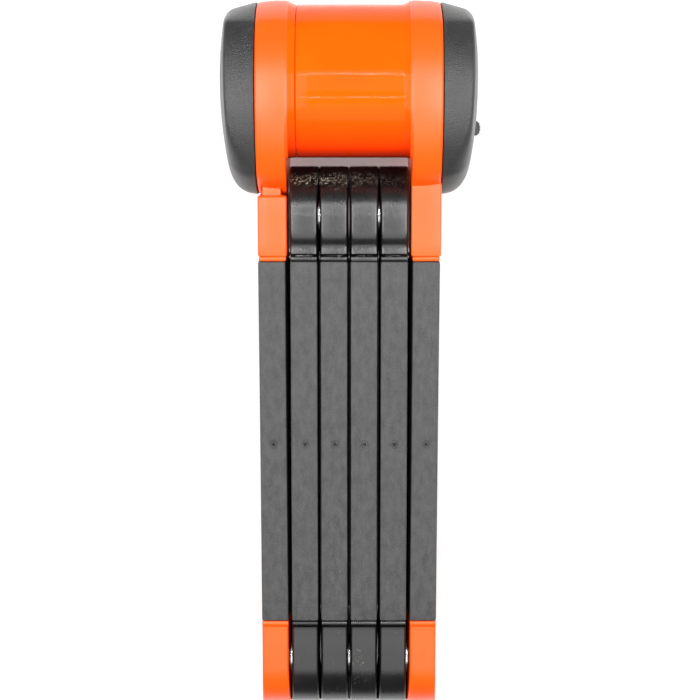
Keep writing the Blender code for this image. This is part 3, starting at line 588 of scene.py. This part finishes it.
def make_cap(link, end):
    """One moulded end: cheeks round the rivet, rounded edges, and the collar at the sleeve."""
    upper = end == "upper"
    up = 1 if upper else -1
    pivot = UP_Y if upper else LOW_Y
    sleeve_end = COVER_TOP if upper else COVER_BOTTOM
    gap, colour = COLLAR_GAP, (BLACK, "black_cap")
    if link in "af":
        gap, colour = SEAM_GAP, (ORANGE, "orange_shell")
    flat = sleeve_end + up * (COLLAR_START + COLLAR_LENGTH + gap)
    lean = LEAN_IN.get(link, 0.0)
    x = LINK_X[link] + lean
    reach = pivot + up * END_RADIUS
    swells = dict(zip((-1, 1), side_swells(link, lean)))

    def thick(y, z, side):
        """Half thickness: fuller towards the tip, and swelling to mid depth."""
        part = abs(y - flat) / abs(reach - flat)
        inwards = 1 - (z / END_RADIUS) ** 2
        fuller = TIP_SWELL * smooth((part - 0.35) / 0.5) - CAP_WAIST
        return BAR_HALF + min(fuller + (swells[side] + CAP_WAIST) * inwards ** 2, swells[side])

    def ring(inset, side, depth):
        """A ring of the rounded edge, in from the outline and down from the cheek."""
        return [(x + side * (thick(y, z, side) - depth), y, MID_Z + z)
                for y, z in cap_outline(pivot, flat, inset)]

    fillet = []
    for k in range(FILLET_STEPS + 1):
        t = math.pi / 2 * k / FILLET_STEPS
        fillet.append((CAP_FILLET * (1 - math.cos(t)), CAP_FILLET * (1 - math.sin(t))))
    faces = []
    rim = cap_outline(pivot, flat, CAP_FILLET)
    angles = [math.atan2(z, y - pivot) for y, z in rim]
    for side in (-1, 1):
        # from the hole's inner edge out over the cheek and round the fillet
        face = []
        for radius, inwards in ((CHEEK_HOLE, CHEEK_LIP), (CHEEK_HOLE, CHEEK_RIM),
                                (CHEEK_HOLE + CHEEK_RIM, 0.0)):
            row = []
            for a in angles:
                dy, dz = radius * math.cos(a), radius * math.sin(a)
                half = thick(pivot + dy, dz, side) - inwards
                row.append((x + side * half, pivot + dy, MID_Z + dz))
            face.append(row)
        first = [(y, z) for _, y, z in face[-1]]
        for part in (0.33, 0.66):
            mixed = []
            for (y0, z0), (y1, z1) in zip(first, rim):
                y, z = y0 + (y1 - y0) * part, z0 + (MID_Z + z1 - z0) * part
                mixed.append((x + side * thick(y, z - MID_Z, side), y, z))
            face.append(mixed)
        for inset, depth in reversed(fillet):
            face.append(ring(inset, side, depth))
        faces.append(face)
    left, right = faces
    bm = skin(left + list(reversed(right)), loop=True)
    name = f"end_{link}_{end}"
    cap = piece(name, bm, colour[0], BODY_OF[link], [f"link_{link}_{end}_cap"])
    half, wide = plate_room(link)
    start = -90 if upper else 90
    outline = arc(pivot, 0.0, wide, start, start + 180, 32)
    outline += [(flat - up * 2 * MM, outline[-1][1]), (flat - up * 2 * MM, outline[0][1])]
    pocket = skin([[(LINK_X[link] + px, y, MID_Z + z) for y, z in outline] for px in (-half, half)])
    boolean(cap, [helper("pocket", pocket)])
    make_collar(link, end, x, sleeve_end + up * COLLAR_START, up, colour)


def make_collar(link, end, x, start, up, colour):
    """The thin band between a moulded end and its sleeve, with a little moulding flash."""
    rings = []
    swells = side_swells(link, x - LINK_X[link])
    for part, inset in COLLAR_SHAPE:
        outline = bar_section(BAR_HALF - inset * MM, END_RADIUS - inset * MM, BAR_CORNER, swells)
        ring = []
        for px, pz in outline:
            flash = FLASH * math.sin(1900 * pz + 5.0 * part) * math.sin(2300 * px + 1.3 * ord(link))
            y = start + up * (COLLAR_LENGTH * part) + flash * (1 if part in (0.0, 1.0) else 0.4)
            ring.append((x + px, y, MID_Z + pz))
        rings.append(ring)
    collar = piece(f"collar_{link}_{end}", skin(rings), colour[0], BODY_OF[link])
    half, wide = plate_room(link)
    middle = LINK_X[link]
    boolean(collar, [helper("pocket", box_shape(
        middle - half, middle + half, start - 3 * MM, start + 3 * MM, MID_Z - wide, MID_Z + wide))])


# ------------------------------------------------------------------ rivets and washers
RIVET_HEAD = 1.2 * MM
RIVET_NECK = 4.0 * MM         # radius
PIN_HOLE = 4.3 * MM           # radius
WASHER_EDGE = 0.3 * MM
ROUND_STEPS = 72


def make_rivet(hinge):
    """A rivet with rounded, dimpled heads, and the washer between its two links."""
    middle, size = centre_and_size(f"rivet_{hinge}")
    radius = size.y / 2
    x0, x1 = middle.x - size.x / 2, middle.x + size.x / 2
    profile = [(x0 + 0.10 * MM, 1.2 * MM), (x0 + 0.12 * MM, 1.6 * MM), (x0, 2.2 * MM),
               (x0, radius - 1.0 * MM), (x0 + 0.12 * MM, radius - 0.45 * MM),
               (x0 + 0.4 * MM, radius - 0.1 * MM), (x0 + 0.7 * MM, radius),
               (x0 + RIVET_HEAD, radius), (x0 + RIVET_HEAD, RIVET_NECK)]
    far = [(x0 + x1 - x, r) for x, r in reversed(profile)]
    bm = turned(profile + far, middle.y, MID_Z, ROUND_STEPS)
    owner = BODY_OF[hinge[1]]
    piece(f"pin_{hinge}", bm, BRIGHT, owner, [f"rivet_{hinge}"])
    middle, size = centre_and_size(f"washer_{hinge}")
    x0, x1 = middle.x - size.x / 2, middle.x + size.x / 2
    outer = size.y / 2
    profile = [(x0, PIN_HOLE), (x0, outer - WASHER_EDGE), (x0 + WASHER_EDGE, outer),
               (x1 - WASHER_EDGE, outer), (x1, outer - WASHER_EDGE), (x1, PIN_HOLE)]
    bm = turned(profile, middle.y, MID_Z, ROUND_STEPS, closed=True)
    piece(f"spacer_{hinge}", bm, BRIGHT, owner, [f"washer_{hinge}"])


# ------------------------------------------------------------------ head shells
CREASE_Y = 23.8 * MM          # where the front meets the top
CREASE_Z = 19.0 * MM
WAIST = 16.1 * MM             # half length of the waist
WAIST_STEP = 1.15 * MM        # it is that much lower than the flanges
FLARE_END = 19.6 * MM
GLOSS_END = 18.5 * MM
CROWN_START = 21.5 * MM       # from here the flange falls off to its end
CROWN_FALL = 0.65 * MM
SPACE_CORNER = 0.9 * MM
SPACE_FLOOR = SPACE_TOP - HEAD_Y
WAIST_RECESS = 5.0 * MM
LEAN_START = 0.5 * MM         # below the middle of the head, where the recess starts
EDGE_START = 11.5 * MM        # where the edge above the bars starts to turn under
EDGE_END = 18.2 * MM
EDGE_SHARE = 0.55             # of the recess
FRONT_STEPS, TOP_STEPS, UNDER_STEPS = 34, 24, 24
HEAD_SLOT_TOP = HEAD_Y - 15.0 * MM
OUTER_ENDS = COVER_TOP + COLLAR_START + COLLAR_LENGTH + SEAM_GAP
SOCKET_HALF = 3.3 * MM
SOCKET_WIDE = 13.2 * MM
NECK_HALF = 3.0 * MM          # the neck of link A's end, which enters the socket
NECK_WIDE = 12.9 * MM
NECK_WALL = (0.35 * MM, 0.75 * MM)
SHOULDER = HEAD_Y - 29.4 * MM
LIMB_FOOT = ((0.0, 0.30), (0.12, 0.08), (0.4, 0.0))   # (height, inset), both in mm
LIMB_TOP = ((5.0, 0.0), (0.8, 0.0), (0.35, 0.10), (0.1, 0.32), (0.0, 0.62))   # (drop, inset), in mm
FLANGE_ROWS = (0.0, 0.5, 1.2, 2.0, 3.2, 4.6, 6.0, 7.2)   # along the flange, in mm
FLANGE_EDGE = ((0.8, 0.0), (0.35, 0.04), (0.1, 0.16), (0.0, 0.34))   # (from its end, inset), in mm


def arc_through(a, b, rise, steps):
    """Points from a to b on the arc that bulges by rise, without b."""
    a, b = Vector(a), Vector(b)
    half = (b - a).length / 2
    radius = (half * half + rise * rise) / (2 * rise)
    outward = Vector((b.y - a.y, a.x - b.x)).normalized()
    along = (b - a).normalized()
    centre = (a + b) / 2 - outward * (radius - rise)
    sweep = 2 * math.asin(half / radius)
    points = []
    for k in range(steps):
        t = -sweep / 2 + sweep * k / steps
        p = centre + outward * radius * math.cos(t) + along * radius * math.sin(t)
        points.append((p.x, p.y))
    return points


def front_z(y, inset, recess):
    """Depth of the front face at height y above the head's middle.

    The recess draws the lower half back and turns its edge under above the bars.
    """
    rise = HEAD_DEPTH - CREASE_Z
    radius = (CREASE_Y ** 2 + rise ** 2) / (2 * rise)
    z = HEAD_DEPTH - radius + math.sqrt(radius * radius - y * y)
    lean = min(max((-y - LEAN_START) / (EDGE_END - LEAN_START), 0.0), 1.0)
    turn = min(max((-y - EDGE_START) / (EDGE_END - EDGE_START), 0.0), 1.0)
    return z - inset - recess * (lean * lean + EDGE_SHARE * (1 - math.sqrt(1 - turn * turn)))


def soften(points, passes):
    """Rounds the creases of a closed outline by averaging neighbours."""
    for _ in range(passes):
        count = len(points)
        points = [tuple((points[k - 1][i] + 2 * points[k][i] + points[(k + 1) % count][i]) / 4
                        for i in (0, 1)) for k in range(count)]
    return points


def head_section(inset, recess=0.0, floor=None, passes=3):
    """Closed outline (y, z): up the front, over the top, down the back, along the underside.

    With a floor the section is cut off flat at that height below the middle of the head.
    """
    top = HEAD_HEIGHT - inset
    crease = CREASE_Y * top / HEAD_HEIGHT
    low = -crease if floor is None else max(floor, -crease)
    near = 0.3 * MM
    heights = [low + (crease - low) * k / FRONT_STEPS for k in range(FRONT_STEPS)]
    heights = [low, low + near] + heights[1:] + [crease - near]
    front = [(y, front_z(y, inset, recess)) for y in heights]
    corner_z = front_z(crease, inset, recess)
    over = arc_through((crease, -corner_z), (crease, corner_z), top - crease, TOP_STEPS)
    over = [(y, -z) for y, z in over]
    back = [(crease, -corner_z)] + [(y, -z) for y, z in reversed(front[1:])]
    low_z = front[0][1]
    if floor is None:
        under = arc_through((low, low_z), (low, -low_z), top - crease, UNDER_STEPS)
        under = [(y, -z) for y, z in under]
    else:
        under = [(low, -low_z * (1 - 2 * k / UNDER_STEPS)) for k in range(UNDER_STEPS)]
    return soften(front + over + back + under, passes)


def waist_weight(x):
    """1 along the waist, falling to 0 on the flanges."""
    return 1.0 - smooth((abs(x) - WAIST) / (FLARE_END - WAIST))


def station(x, floor=None, extra=0.0):
    """One ring of the head's loft at x."""
    weight = waist_weight(x)
    crown = CROWN_FALL * max(0.0, (abs(x) - CROWN_START) / (FLANGE_END - CROWN_START)) ** 2
    outline = head_section(WAIST_STEP * weight + crown + extra, WAIST_RECESS * weight, floor)
    return [(x, HEAD_Y + y, MID_Z + z) for y, z in outline]


def seam_rings(x, sign):
    """The rounded edge of a shell at the seam; the sign says which way the shell runs on."""
    return [station(x, SPACE_FLOOR, 0.30 * MM),
            station(x + sign * 0.10 * MM, SPACE_FLOOR, 0.10 * MM),
            station(x + sign * 0.28 * MM, SPACE_FLOOR)]


def half_shell_rings(sign, inner_end):
    """Rings from an end with rounded edges out to the flange's end, on one side."""
    rings = seam_rings(sign * inner_end, sign)
    turn_start = SPACE_SIDE - SPACE_CORNER
    spans = 5
    for k in range(1, spans):
        reach = inner_end + 0.3 * MM + (turn_start - inner_end - 0.3 * MM) * k / spans
        rings.append(station(sign * reach, SPACE_FLOOR))
    for k in range(9):
        t = math.pi / 2 * k / 8
        x = turn_start + SPACE_CORNER * math.sin(t)
        rings.append(station(sign * x, SPACE_FLOOR - SPACE_CORNER * (1 - math.cos(t))))
    edge = SPACE_SIDE + 0.12 * MM
    for offset in FLANGE_ROWS:
        rings.append(station(sign * (edge + offset * MM)))
    for back, extra in FLANGE_EDGE:
        rings.append(station(sign * (FLANGE_END - back * MM), None, extra * MM))
    return rings


def case_room(x0, x1):
    """Inside of the shells, round the lock case."""
    low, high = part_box("lock_case")
    gap = 0.3 * MM
    return helper("room", box_shape(x0, x1, low.y - gap, high.y + gap, low.z - gap, high.z + gap))


def leg_shape(bottom):
    """The limb that runs down from the right flange to link F."""
    middle = (SPACE_SIDE + LEG_END) / 2
    half = (LEG_END - SPACE_SIDE) / 2
    stations = [(bottom + up * MM, inset) for up, inset in LIMB_FOOT]
    stations += [(y, 0.0) for y in (bottom + 4.0 * MM, bottom + 10.0 * MM,
                                    HEAD_Y - 26.0 * MM, HEAD_Y - 14.0 * MM)]
    return helper("leg", skin(limb_rings(middle, half, 0.6 * MM, stations)))


def gloss_waist(shell):
    """The recessed waist is smoother than the flanges and the leg; its orange has painted shade towards the lower
    edge.
    """
    shell.data.materials.append(ORANGE_GLOSS)
    for face in shell.data.polygons:
        face.material_index = 1 if abs(face.center.x) < GLOSS_END else 0


def make_main_shell():
    """Waist, right flange and the leg over link F, and the collar under the leg."""
    rings = seam_rings(SEAM_X, 1)
    rings += [station(x * MM, SPACE_FLOOR) for x in (-11.0, -5.0, 0.0, 5.0, 11.0)]
    rings += half_shell_rings(1, 15.0 * MM)[2:]
    shell = piece("head_shell", skin(rings), ORANGE, "head",
                  ["housing_main_shell"])
    boolean(shell, [leg_shape(OUTER_ENDS)], "UNION")
    x = LINK_X["f"]
    half, wide = plate_room("f")
    slot = helper("slot", box_shape(x - half, x + half, OUTER_ENDS - 2 * MM, HEAD_SLOT_TOP,
                                    MID_Z - wide, MID_Z + wide))
    boolean(shell, [case_room(-30.0 * MM, 30.0 * MM), slot])
    gloss_waist(shell)
    make_collar("f", "upper", (SPACE_SIDE + LEG_END) / 2, COVER_TOP + COLLAR_START, 1,
                (ORANGE, "orange_shell"))


def make_socket_shell():
    """Left flange with the socket for link A's tongue, cut off flat at its lower end."""
    bm = skin(half_shell_rings(-1, -SEAM_X + 0.15 * MM))
    shell = piece("head_socket", bm, ORANGE, "head", ["housing_socket_shell"])
    x = LINK_X["a"]
    left, right = -35.0 * MM, -15.0 * MM
    below = HEAD_Y - 40.0 * MM
    trim = helper("trim", box_shape(left, right, below, STUB_BOTTOM, -10.0 * MM, 70.0 * MM))
    slot = helper("slot", box_shape(x - SOCKET_HALF, x + SOCKET_HALF, below, HEAD_SLOT_TOP,
                                    MID_Z - SOCKET_WIDE, MID_Z + SOCKET_WIDE))
    boolean(shell, [trim, case_room(left, right), slot])
    gloss_waist(shell)


def make_tongue_end():
    """Upper end of link A: a straight orange collar with a neck that enters the socket."""
    low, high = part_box("link_a_upper_cap")
    x = (low.x + high.x) / 2
    half = (high.x - low.x) / 2
    stations = [(OUTER_ENDS + up * MM, inset) for up, inset in LIMB_FOOT + ((5.0, 0.0),)]
    stations += [(SHOULDER - drop * MM, inset) for drop, inset in LIMB_TOP]
    bm = skin(limb_rings(x, half, 0.7 * MM, stations))
    end = piece("end_a_upper", bm, ORANGE, "link_a", ["link_a_upper_cap"])
    middle = LINK_X["a"]
    rings = []
    for y, inset in ((SHOULDER - 2 * MM, 0.0), (high.y - 1.2 * MM, 0.0), (high.y - 0.5 * MM, 0.2),
                     (high.y, 0.7)):
        outline = rounded_rectangle(NECK_HALF - inset * MM, NECK_WIDE - inset * MM, 0.8 * MM)
        rings.append([(middle + px, y, MID_Z + pz) for px, pz in outline])
    boolean(end, [helper("neck", skin(rings))], "UNION")
    inner, wide = NECK_HALF - NECK_WALL[0], NECK_WIDE - NECK_WALL[1]
    boolean(end, [helper("room", box_shape(middle - inner, middle + inner, OUTER_ENDS - MM,
                                           high.y + MM, MID_Z - wide, MID_Z + wide))])
    make_collar("a", "upper", x, COVER_TOP + COLLAR_START, 1, (ORANGE, "orange_shell"))


def make_tongue():
    """Link A's plate with chamfered edges, round lower end and the bolt's hole."""
    low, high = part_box("link_a_plate")
    x0, x1 = low.x, high.x
    wide = high.z - MID_Z
    chamfer = 0.4 * MM
    corner = 3.5 * MM
    bolt_hole = 3.6 * MM      # radius

    def outline(inset):
        """The plate's (y, z) outline, drawn in by the inset."""
        w = wide - inset
        r = corner - inset
        tip = high.y - corner
        flat = wide - corner
        points = arc(tip, -flat, r, -90, 0, 8) + arc(tip, flat, r, 0, 90, 8)
        return points + arc(LOW_Y, 0.0, w, 90, 270, 40)

    rings = [[(px, y, MID_Z + z) for y, z in outline(inset)]
             for px, inset in ((x0, chamfer), (x0 + chamfer, 0.0), (x1 - chamfer, 0.0), (x1, chamfer))]
    tongue = piece("tongue_plate", skin(rings), PLATE_STEEL, "link_a",
                   ["link_a_plate"])
    bolt = centre_and_size("locking_bolt")[0]
    tools = []
    for cy, radius in ((LOW_Y, PIN_HOLE), (bolt.y, bolt_hole)):
        wider = radius + 1.5 * MM
        profile = [(x0 - MM, wider), (x0 + 0.5 * MM, radius), (x1 - 0.5 * MM, radius), (x1 + MM, wider)]
        tools.append(helper("hole", turned(profile, cy, MID_Z, 48)))
    boolean(tongue, tools)


# ------------------------------------------------------------------ bumpers and dust cover
DOME_Y = 5.0 * MM             # the dome's highest point, above the middle of the head
DOME_RADIUS_Y = 130.0 * MM
DOME_RADIUS_Z = 125.0 * MM
HALF_LENGTH = -CAD_BOUNDS[0][0]
BUMPER_START = FLANGE_END + 0.22 * MM
BUMPER_INSET = 0.60 * MM
ROUNDING_STEPS = 12
DOME_PARTS = (0.94, 0.85, 0.74, 0.62, 0.5, 0.38, 0.25, 0.12)   # rings in over the dome
BUMPER_CRISP = 30             # degrees, in place of CRISP
COVER_AXIS_Y = joint_place("dust_cover_turn").y
COVER_RADIUS = 15.0 * MM
COVER_RIM = 1.0 * MM          # the rim at its back that holds it in the bumper
COVER_PLAY = 0.25 * MM
NUB_OFFSET = 12.35 * MM       # from the cover's axis
NUB_HALF = 2.35 * MM
NUB_FOOT = 38.2 * MM
NUB_THICK = 1.7 * MM          # half of its thickness at the foot
WINDOW_RADIUS = 4.4 * MM
GROOVE_HALF = 0.14 * MM
GROOVE_REACH = 2.5 * MM       # half of its length, past the nub's sides
GROOVE_DEPTHS = (0.75 * MM, 0.42 * MM, 0.28 * MM, 0.42 * MM, 0.75 * MM)


def dome_x(y, z):
    """How far the bumper's end reaches at (y, z) from the middle of the head."""
    return HALF_LENGTH - (y - DOME_Y) ** 2 / (2 * DOME_RADIUS_Y) - z * z / (2 * DOME_RADIUS_Z)


def bumper_profile(y, z):
    """(x, inset) points from the joint with the flange, over the rounding, to the dome.

    The top tapers and has a middling rounding, the front a small one, the bottom a large one.
    """
    away = math.hypot(y, z)
    top = smooth((y - 23.0 * MM) / (6.0 * MM))
    low = smooth((-y - 6.0 * MM) / (20.0 * MM))
    taper = 0.05 + 0.20 * top + 0.03 * low
    reach = (1.2 + 2.0 * top + 6.0 * low) * MM

    def dome_at(inset):
        """Where the dome stands, that far in from the rim."""
        part = 1 - inset / away
        return dome_x(y * part, z * part)

    corner = HALF_LENGTH
    for _ in range(12):
        corner = dome_at(taper * (corner - BUMPER_START))
    depth = taper * (corner - BUMPER_START)
    start = max(corner - reach, BUMPER_START + 1.2 * MM)
    ends = ((start, taper * (start - BUMPER_START)), (corner, depth),
            (dome_at(depth + reach), depth + reach))
    points = []
    for k in range(ROUNDING_STEPS + 1):
        t = k / ROUNDING_STEPS
        weights = ((1 - t) ** 2, 2 * t * (1 - t), t * t)
        points.append(tuple(sum(w * e[i] for w, e in zip(weights, ends)) for i in (0, 1)))
    return points


def bumper_rings(side):
    """Rings from the flange over the rounding and in over the dome."""
    base = head_section(BUMPER_INSET, passes=1)
    rings = []

    def add(places):
        """Adds a ring from one (x, inset) per point of the base."""
        ring = []
        for (y, z), (x, inset) in zip(base, places):
            part = 1 - inset / math.hypot(y, z)
            ring.append((side * x, HEAD_Y + y * part, MID_Z + z * part))
        rings.append(ring)

    for x, inset in ((0.0, 0.40), (0.08, 0.16), (0.30, 0.03), (0.7, 0.03)):
        add([(BUMPER_START + x * MM, inset * MM)] * len(base))
    profiles = [bumper_profile(y, z) for y, z in base]
    for k in range(ROUNDING_STEPS + 1):
        add([profile[k] for profile in profiles])
    rim = [(y - HEAD_Y, z - MID_Z) for _, y, z in rings[-1]]
    for part in DOME_PARTS:
        rings.append([(side * dome_x(y * part, z * part), HEAD_Y + y * part, MID_Z + z * part)
                      for y, z in rim])
    return rings


def cover_hole():
    """The stepped hole in the right bumper that the dust cover turns in."""
    rim = COVER_RADIUS + COVER_RIM + 0.3 * MM
    lip = COVER_RADIUS + COVER_PLAY
    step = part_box("dust_cover")[0].x + 1.3 * MM
    profile = [(FLANGE_END - MM, rim), (step, rim), (step, lip), (38.6 * MM, lip),
               (38.95 * MM, lip + 0.12 * MM), (39.3 * MM, lip + 0.5 * MM),
               (45.0 * MM, lip + 2.5 * MM)]
    return helper("hole", turned(profile, COVER_AXIS_Y, MID_Z, 96))


def end_plate_room():
    """The pocket in the left bumper for the steel end plate."""
    low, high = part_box("end_plate")
    gap = 0.5 * MM
    return helper("pocket", box_shape(-33.0 * MM, -27.0 * MM, low.y - gap, high.y + gap,
                                      low.z - gap, high.z + gap))


def make_bumpers():
    """Both bumpers, each hollowed for what it holds."""
    for side, name, room in ((-1, "bumper_left", end_plate_room), (1, "bumper_right", cover_hole)):
        made = piece(f"{name}_moulding", skin(bumper_rings(side)), BUMPER, "head",
                     [name], BUMPER_CRISP)
        boolean(made, [room()], sharp=BUMPER_CRISP)


def make_dust_cover():
    """Turning disc with a raised rim, a window and a thumb nub with five grooves."""
    cad_low, cad_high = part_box("dust_cover")
    back, top = cad_low.x, cad_high.x
    radius = COVER_RADIUS
    profile = [(back, radius + COVER_RIM), (back + 1.0 * MM, radius + COVER_RIM),
               (back + 1.0 * MM, radius), (38.45 * MM, radius), (38.72 * MM, radius - 0.10 * MM),
               (38.88 * MM, radius - 0.35 * MM), (38.98 * MM, radius - 0.8 * MM),
               (39.02 * MM, radius - 1.5 * MM), (38.86 * MM, radius - 1.75 * MM),
               (38.84 * MM, radius - 2.3 * MM), (39.08 * MM, radius - 2.55 * MM),
               (39.26 * MM, 10.0 * MM), (39.46 * MM, 7.0 * MM), (39.6 * MM, 4.0 * MM),
               (39.66 * MM, 1.5 * MM)]
    cover = piece("dust_cover_disc", turned(profile, COVER_AXIS_Y, MID_Z, 96), BUMPER,
                  "dust_cover", ["dust_cover"], BUMPER_CRISP)
    middle, half = COVER_AXIS_Y - NUB_OFFSET, NUB_HALF
    rings = []
    for k in range(13):
        part = k / 12
        x = NUB_FOOT + (top - NUB_FOOT) * part
        swell = math.sqrt(max(0.0, 1 - max(0.0, (part - 0.35) / 0.68) ** 2.4))
        outline = rounded_rectangle(half * swell, NUB_THICK * (0.35 + 0.65 * swell),
                                    0.6 * MM * swell)
        rings.append([(x, middle + py, MID_Z + pz) for py, pz in outline])
    boolean(cover, [helper("nub", skin(rings))], "UNION", BUMPER_CRISP)
    offset = COVER_AXIS_Y - joint_place("plug_turn").y
    window = turned([(35.0 * MM, WINDOW_RADIUS), (39.0 * MM, WINDOW_RADIUS),
                     (39.35 * MM, WINDOW_RADIUS + 0.2 * MM), (42.0 * MM, WINDOW_RADIUS + 1.6 * MM)],
                    COVER_AXIS_Y, MID_Z - offset, 56)
    tools = [helper("window", window)]
    for k, depth in enumerate(GROOVE_DEPTHS):
        y = middle + half * 0.8 * (k / 2 - 1)
        groove = box_shape(top - depth, top + MM, y - GROOVE_HALF, y + GROOVE_HALF,
                           MID_Z - GROOVE_REACH, MID_Z + GROOVE_REACH)
        tools.append(helper("groove", groove))
    boolean(cover, tools, sharp=BUMPER_CRISP)


# ------------------------------------------------------------------ stage, light, camera
FACE_Z = MID_Z + HEAD_DEPTH
TABLE_REACH = 15.0
ROOM_LIGHT = 0.12
TUBES = (("near_tube", 0.004), ("far_tube", 0.235))   # (name, how far up from the head's middle)
TUBE_SIZE = (1.0, 0.008)
TUBE_POWER = 1.2
SIDE_SIZE = (0.40, 0.60)
SIDE_POWER = 3.8
OVERHEAD = (("high_softbox", 0.17, 0.20, 1.3),        # (name, how far up, width, power)
            ("low_softbox", -0.26, 0.36, 2.1))
CAMERA_PLACE = (0.0003, HEAD_Y, MID_Z + 0.5162)
CAMERA_TILT = 8.75            # degrees, towards the links' far ends
CAMERA_LENS = 83.9


def make_stage():
    """A wide white table just under the lock."""
    bm = bmesh.new()
    bmesh.ops.create_grid(bm, x_segments=2, y_segments=2, size=TABLE_REACH)
    floor = piece("table", bm, table_top(), None)
    floor.location.z = -0.2 * MM


def area_light(name, place, target, size, power):
    """A rectangular lamp that points from its place to a target."""
    data = bpy.data.lights.new(name, "AREA")
    data.shape = "RECTANGLE"
    data.size, data.size_y = size
    data.energy = power
    light = bpy.data.objects.new(name, data)
    light.location = place
    light.rotation_euler = (Vector(target) - Vector(place)).to_track_quat("-Z", "Y").to_euler()
    bpy.context.scene.collection.objects.link(light)


def make_light():
    """A dim white room, two thin tubes over the head, and softboxes at the sides and overhead."""
    world = bpy.data.worlds.new("studio")
    bpy.context.scene.world = world
    world.use_nodes = True
    background = world.node_tree.nodes["Background"]
    background.inputs["Color"].default_value = (1.0, 1.0, 1.0, 1.0)
    background.inputs["Strength"].default_value = ROOM_LIGHT
    for name, across in TUBES:
        place = (0.0, HEAD_Y + across, FACE_Z + 0.55)
        area_light(name, place, (0.0, HEAD_Y, FACE_Z), TUBE_SIZE, TUBE_POWER)
    for name, side in (("left_softbox", -1), ("right_softbox", 1)):
        area_light(name, (side * 0.40, 0.12, 0.56), (0.0, 0.10, MID_Z), SIDE_SIZE, SIDE_POWER)
    for name, across, wide, power in OVERHEAD:
        place = (0.0, HEAD_Y + across, FACE_Z + 0.53)
        area_light(name, place, (0.0, HEAD_Y + across, FACE_Z), (0.9, wide), power)


def make_camera():
    """Over the middle of the head."""
    data = bpy.data.cameras.new("camera")
    data.sensor_width = 36.0
    data.lens = CAMERA_LENS
    camera = bpy.data.objects.new("camera", data)
    camera.location = CAMERA_PLACE
    camera.rotation_euler = (-math.radians(CAMERA_TILT), 0.0, 0.0)
    bpy.context.scene.collection.objects.link(camera)
    bpy.context.scene.camera = camera


# ------------------------------------------------------------------ the whole picture
dress_cad_nodes()
for link in LINKS:
    make_cover(link)
    make_cap(link, "lower")
    if link in "bcde":
        make_cap(link, "upper")
for hinge in ("ab", "bc", "cd", "de", "ef"):
    make_rivet(hinge)
make_tongue_end()
make_tongue()
make_main_shell()
make_socket_shell()
make_bumpers()
make_dust_cover()
make_stage()
make_light()
make_camera()
bpy.context.scene.view_settings.view_transform = "Standard"
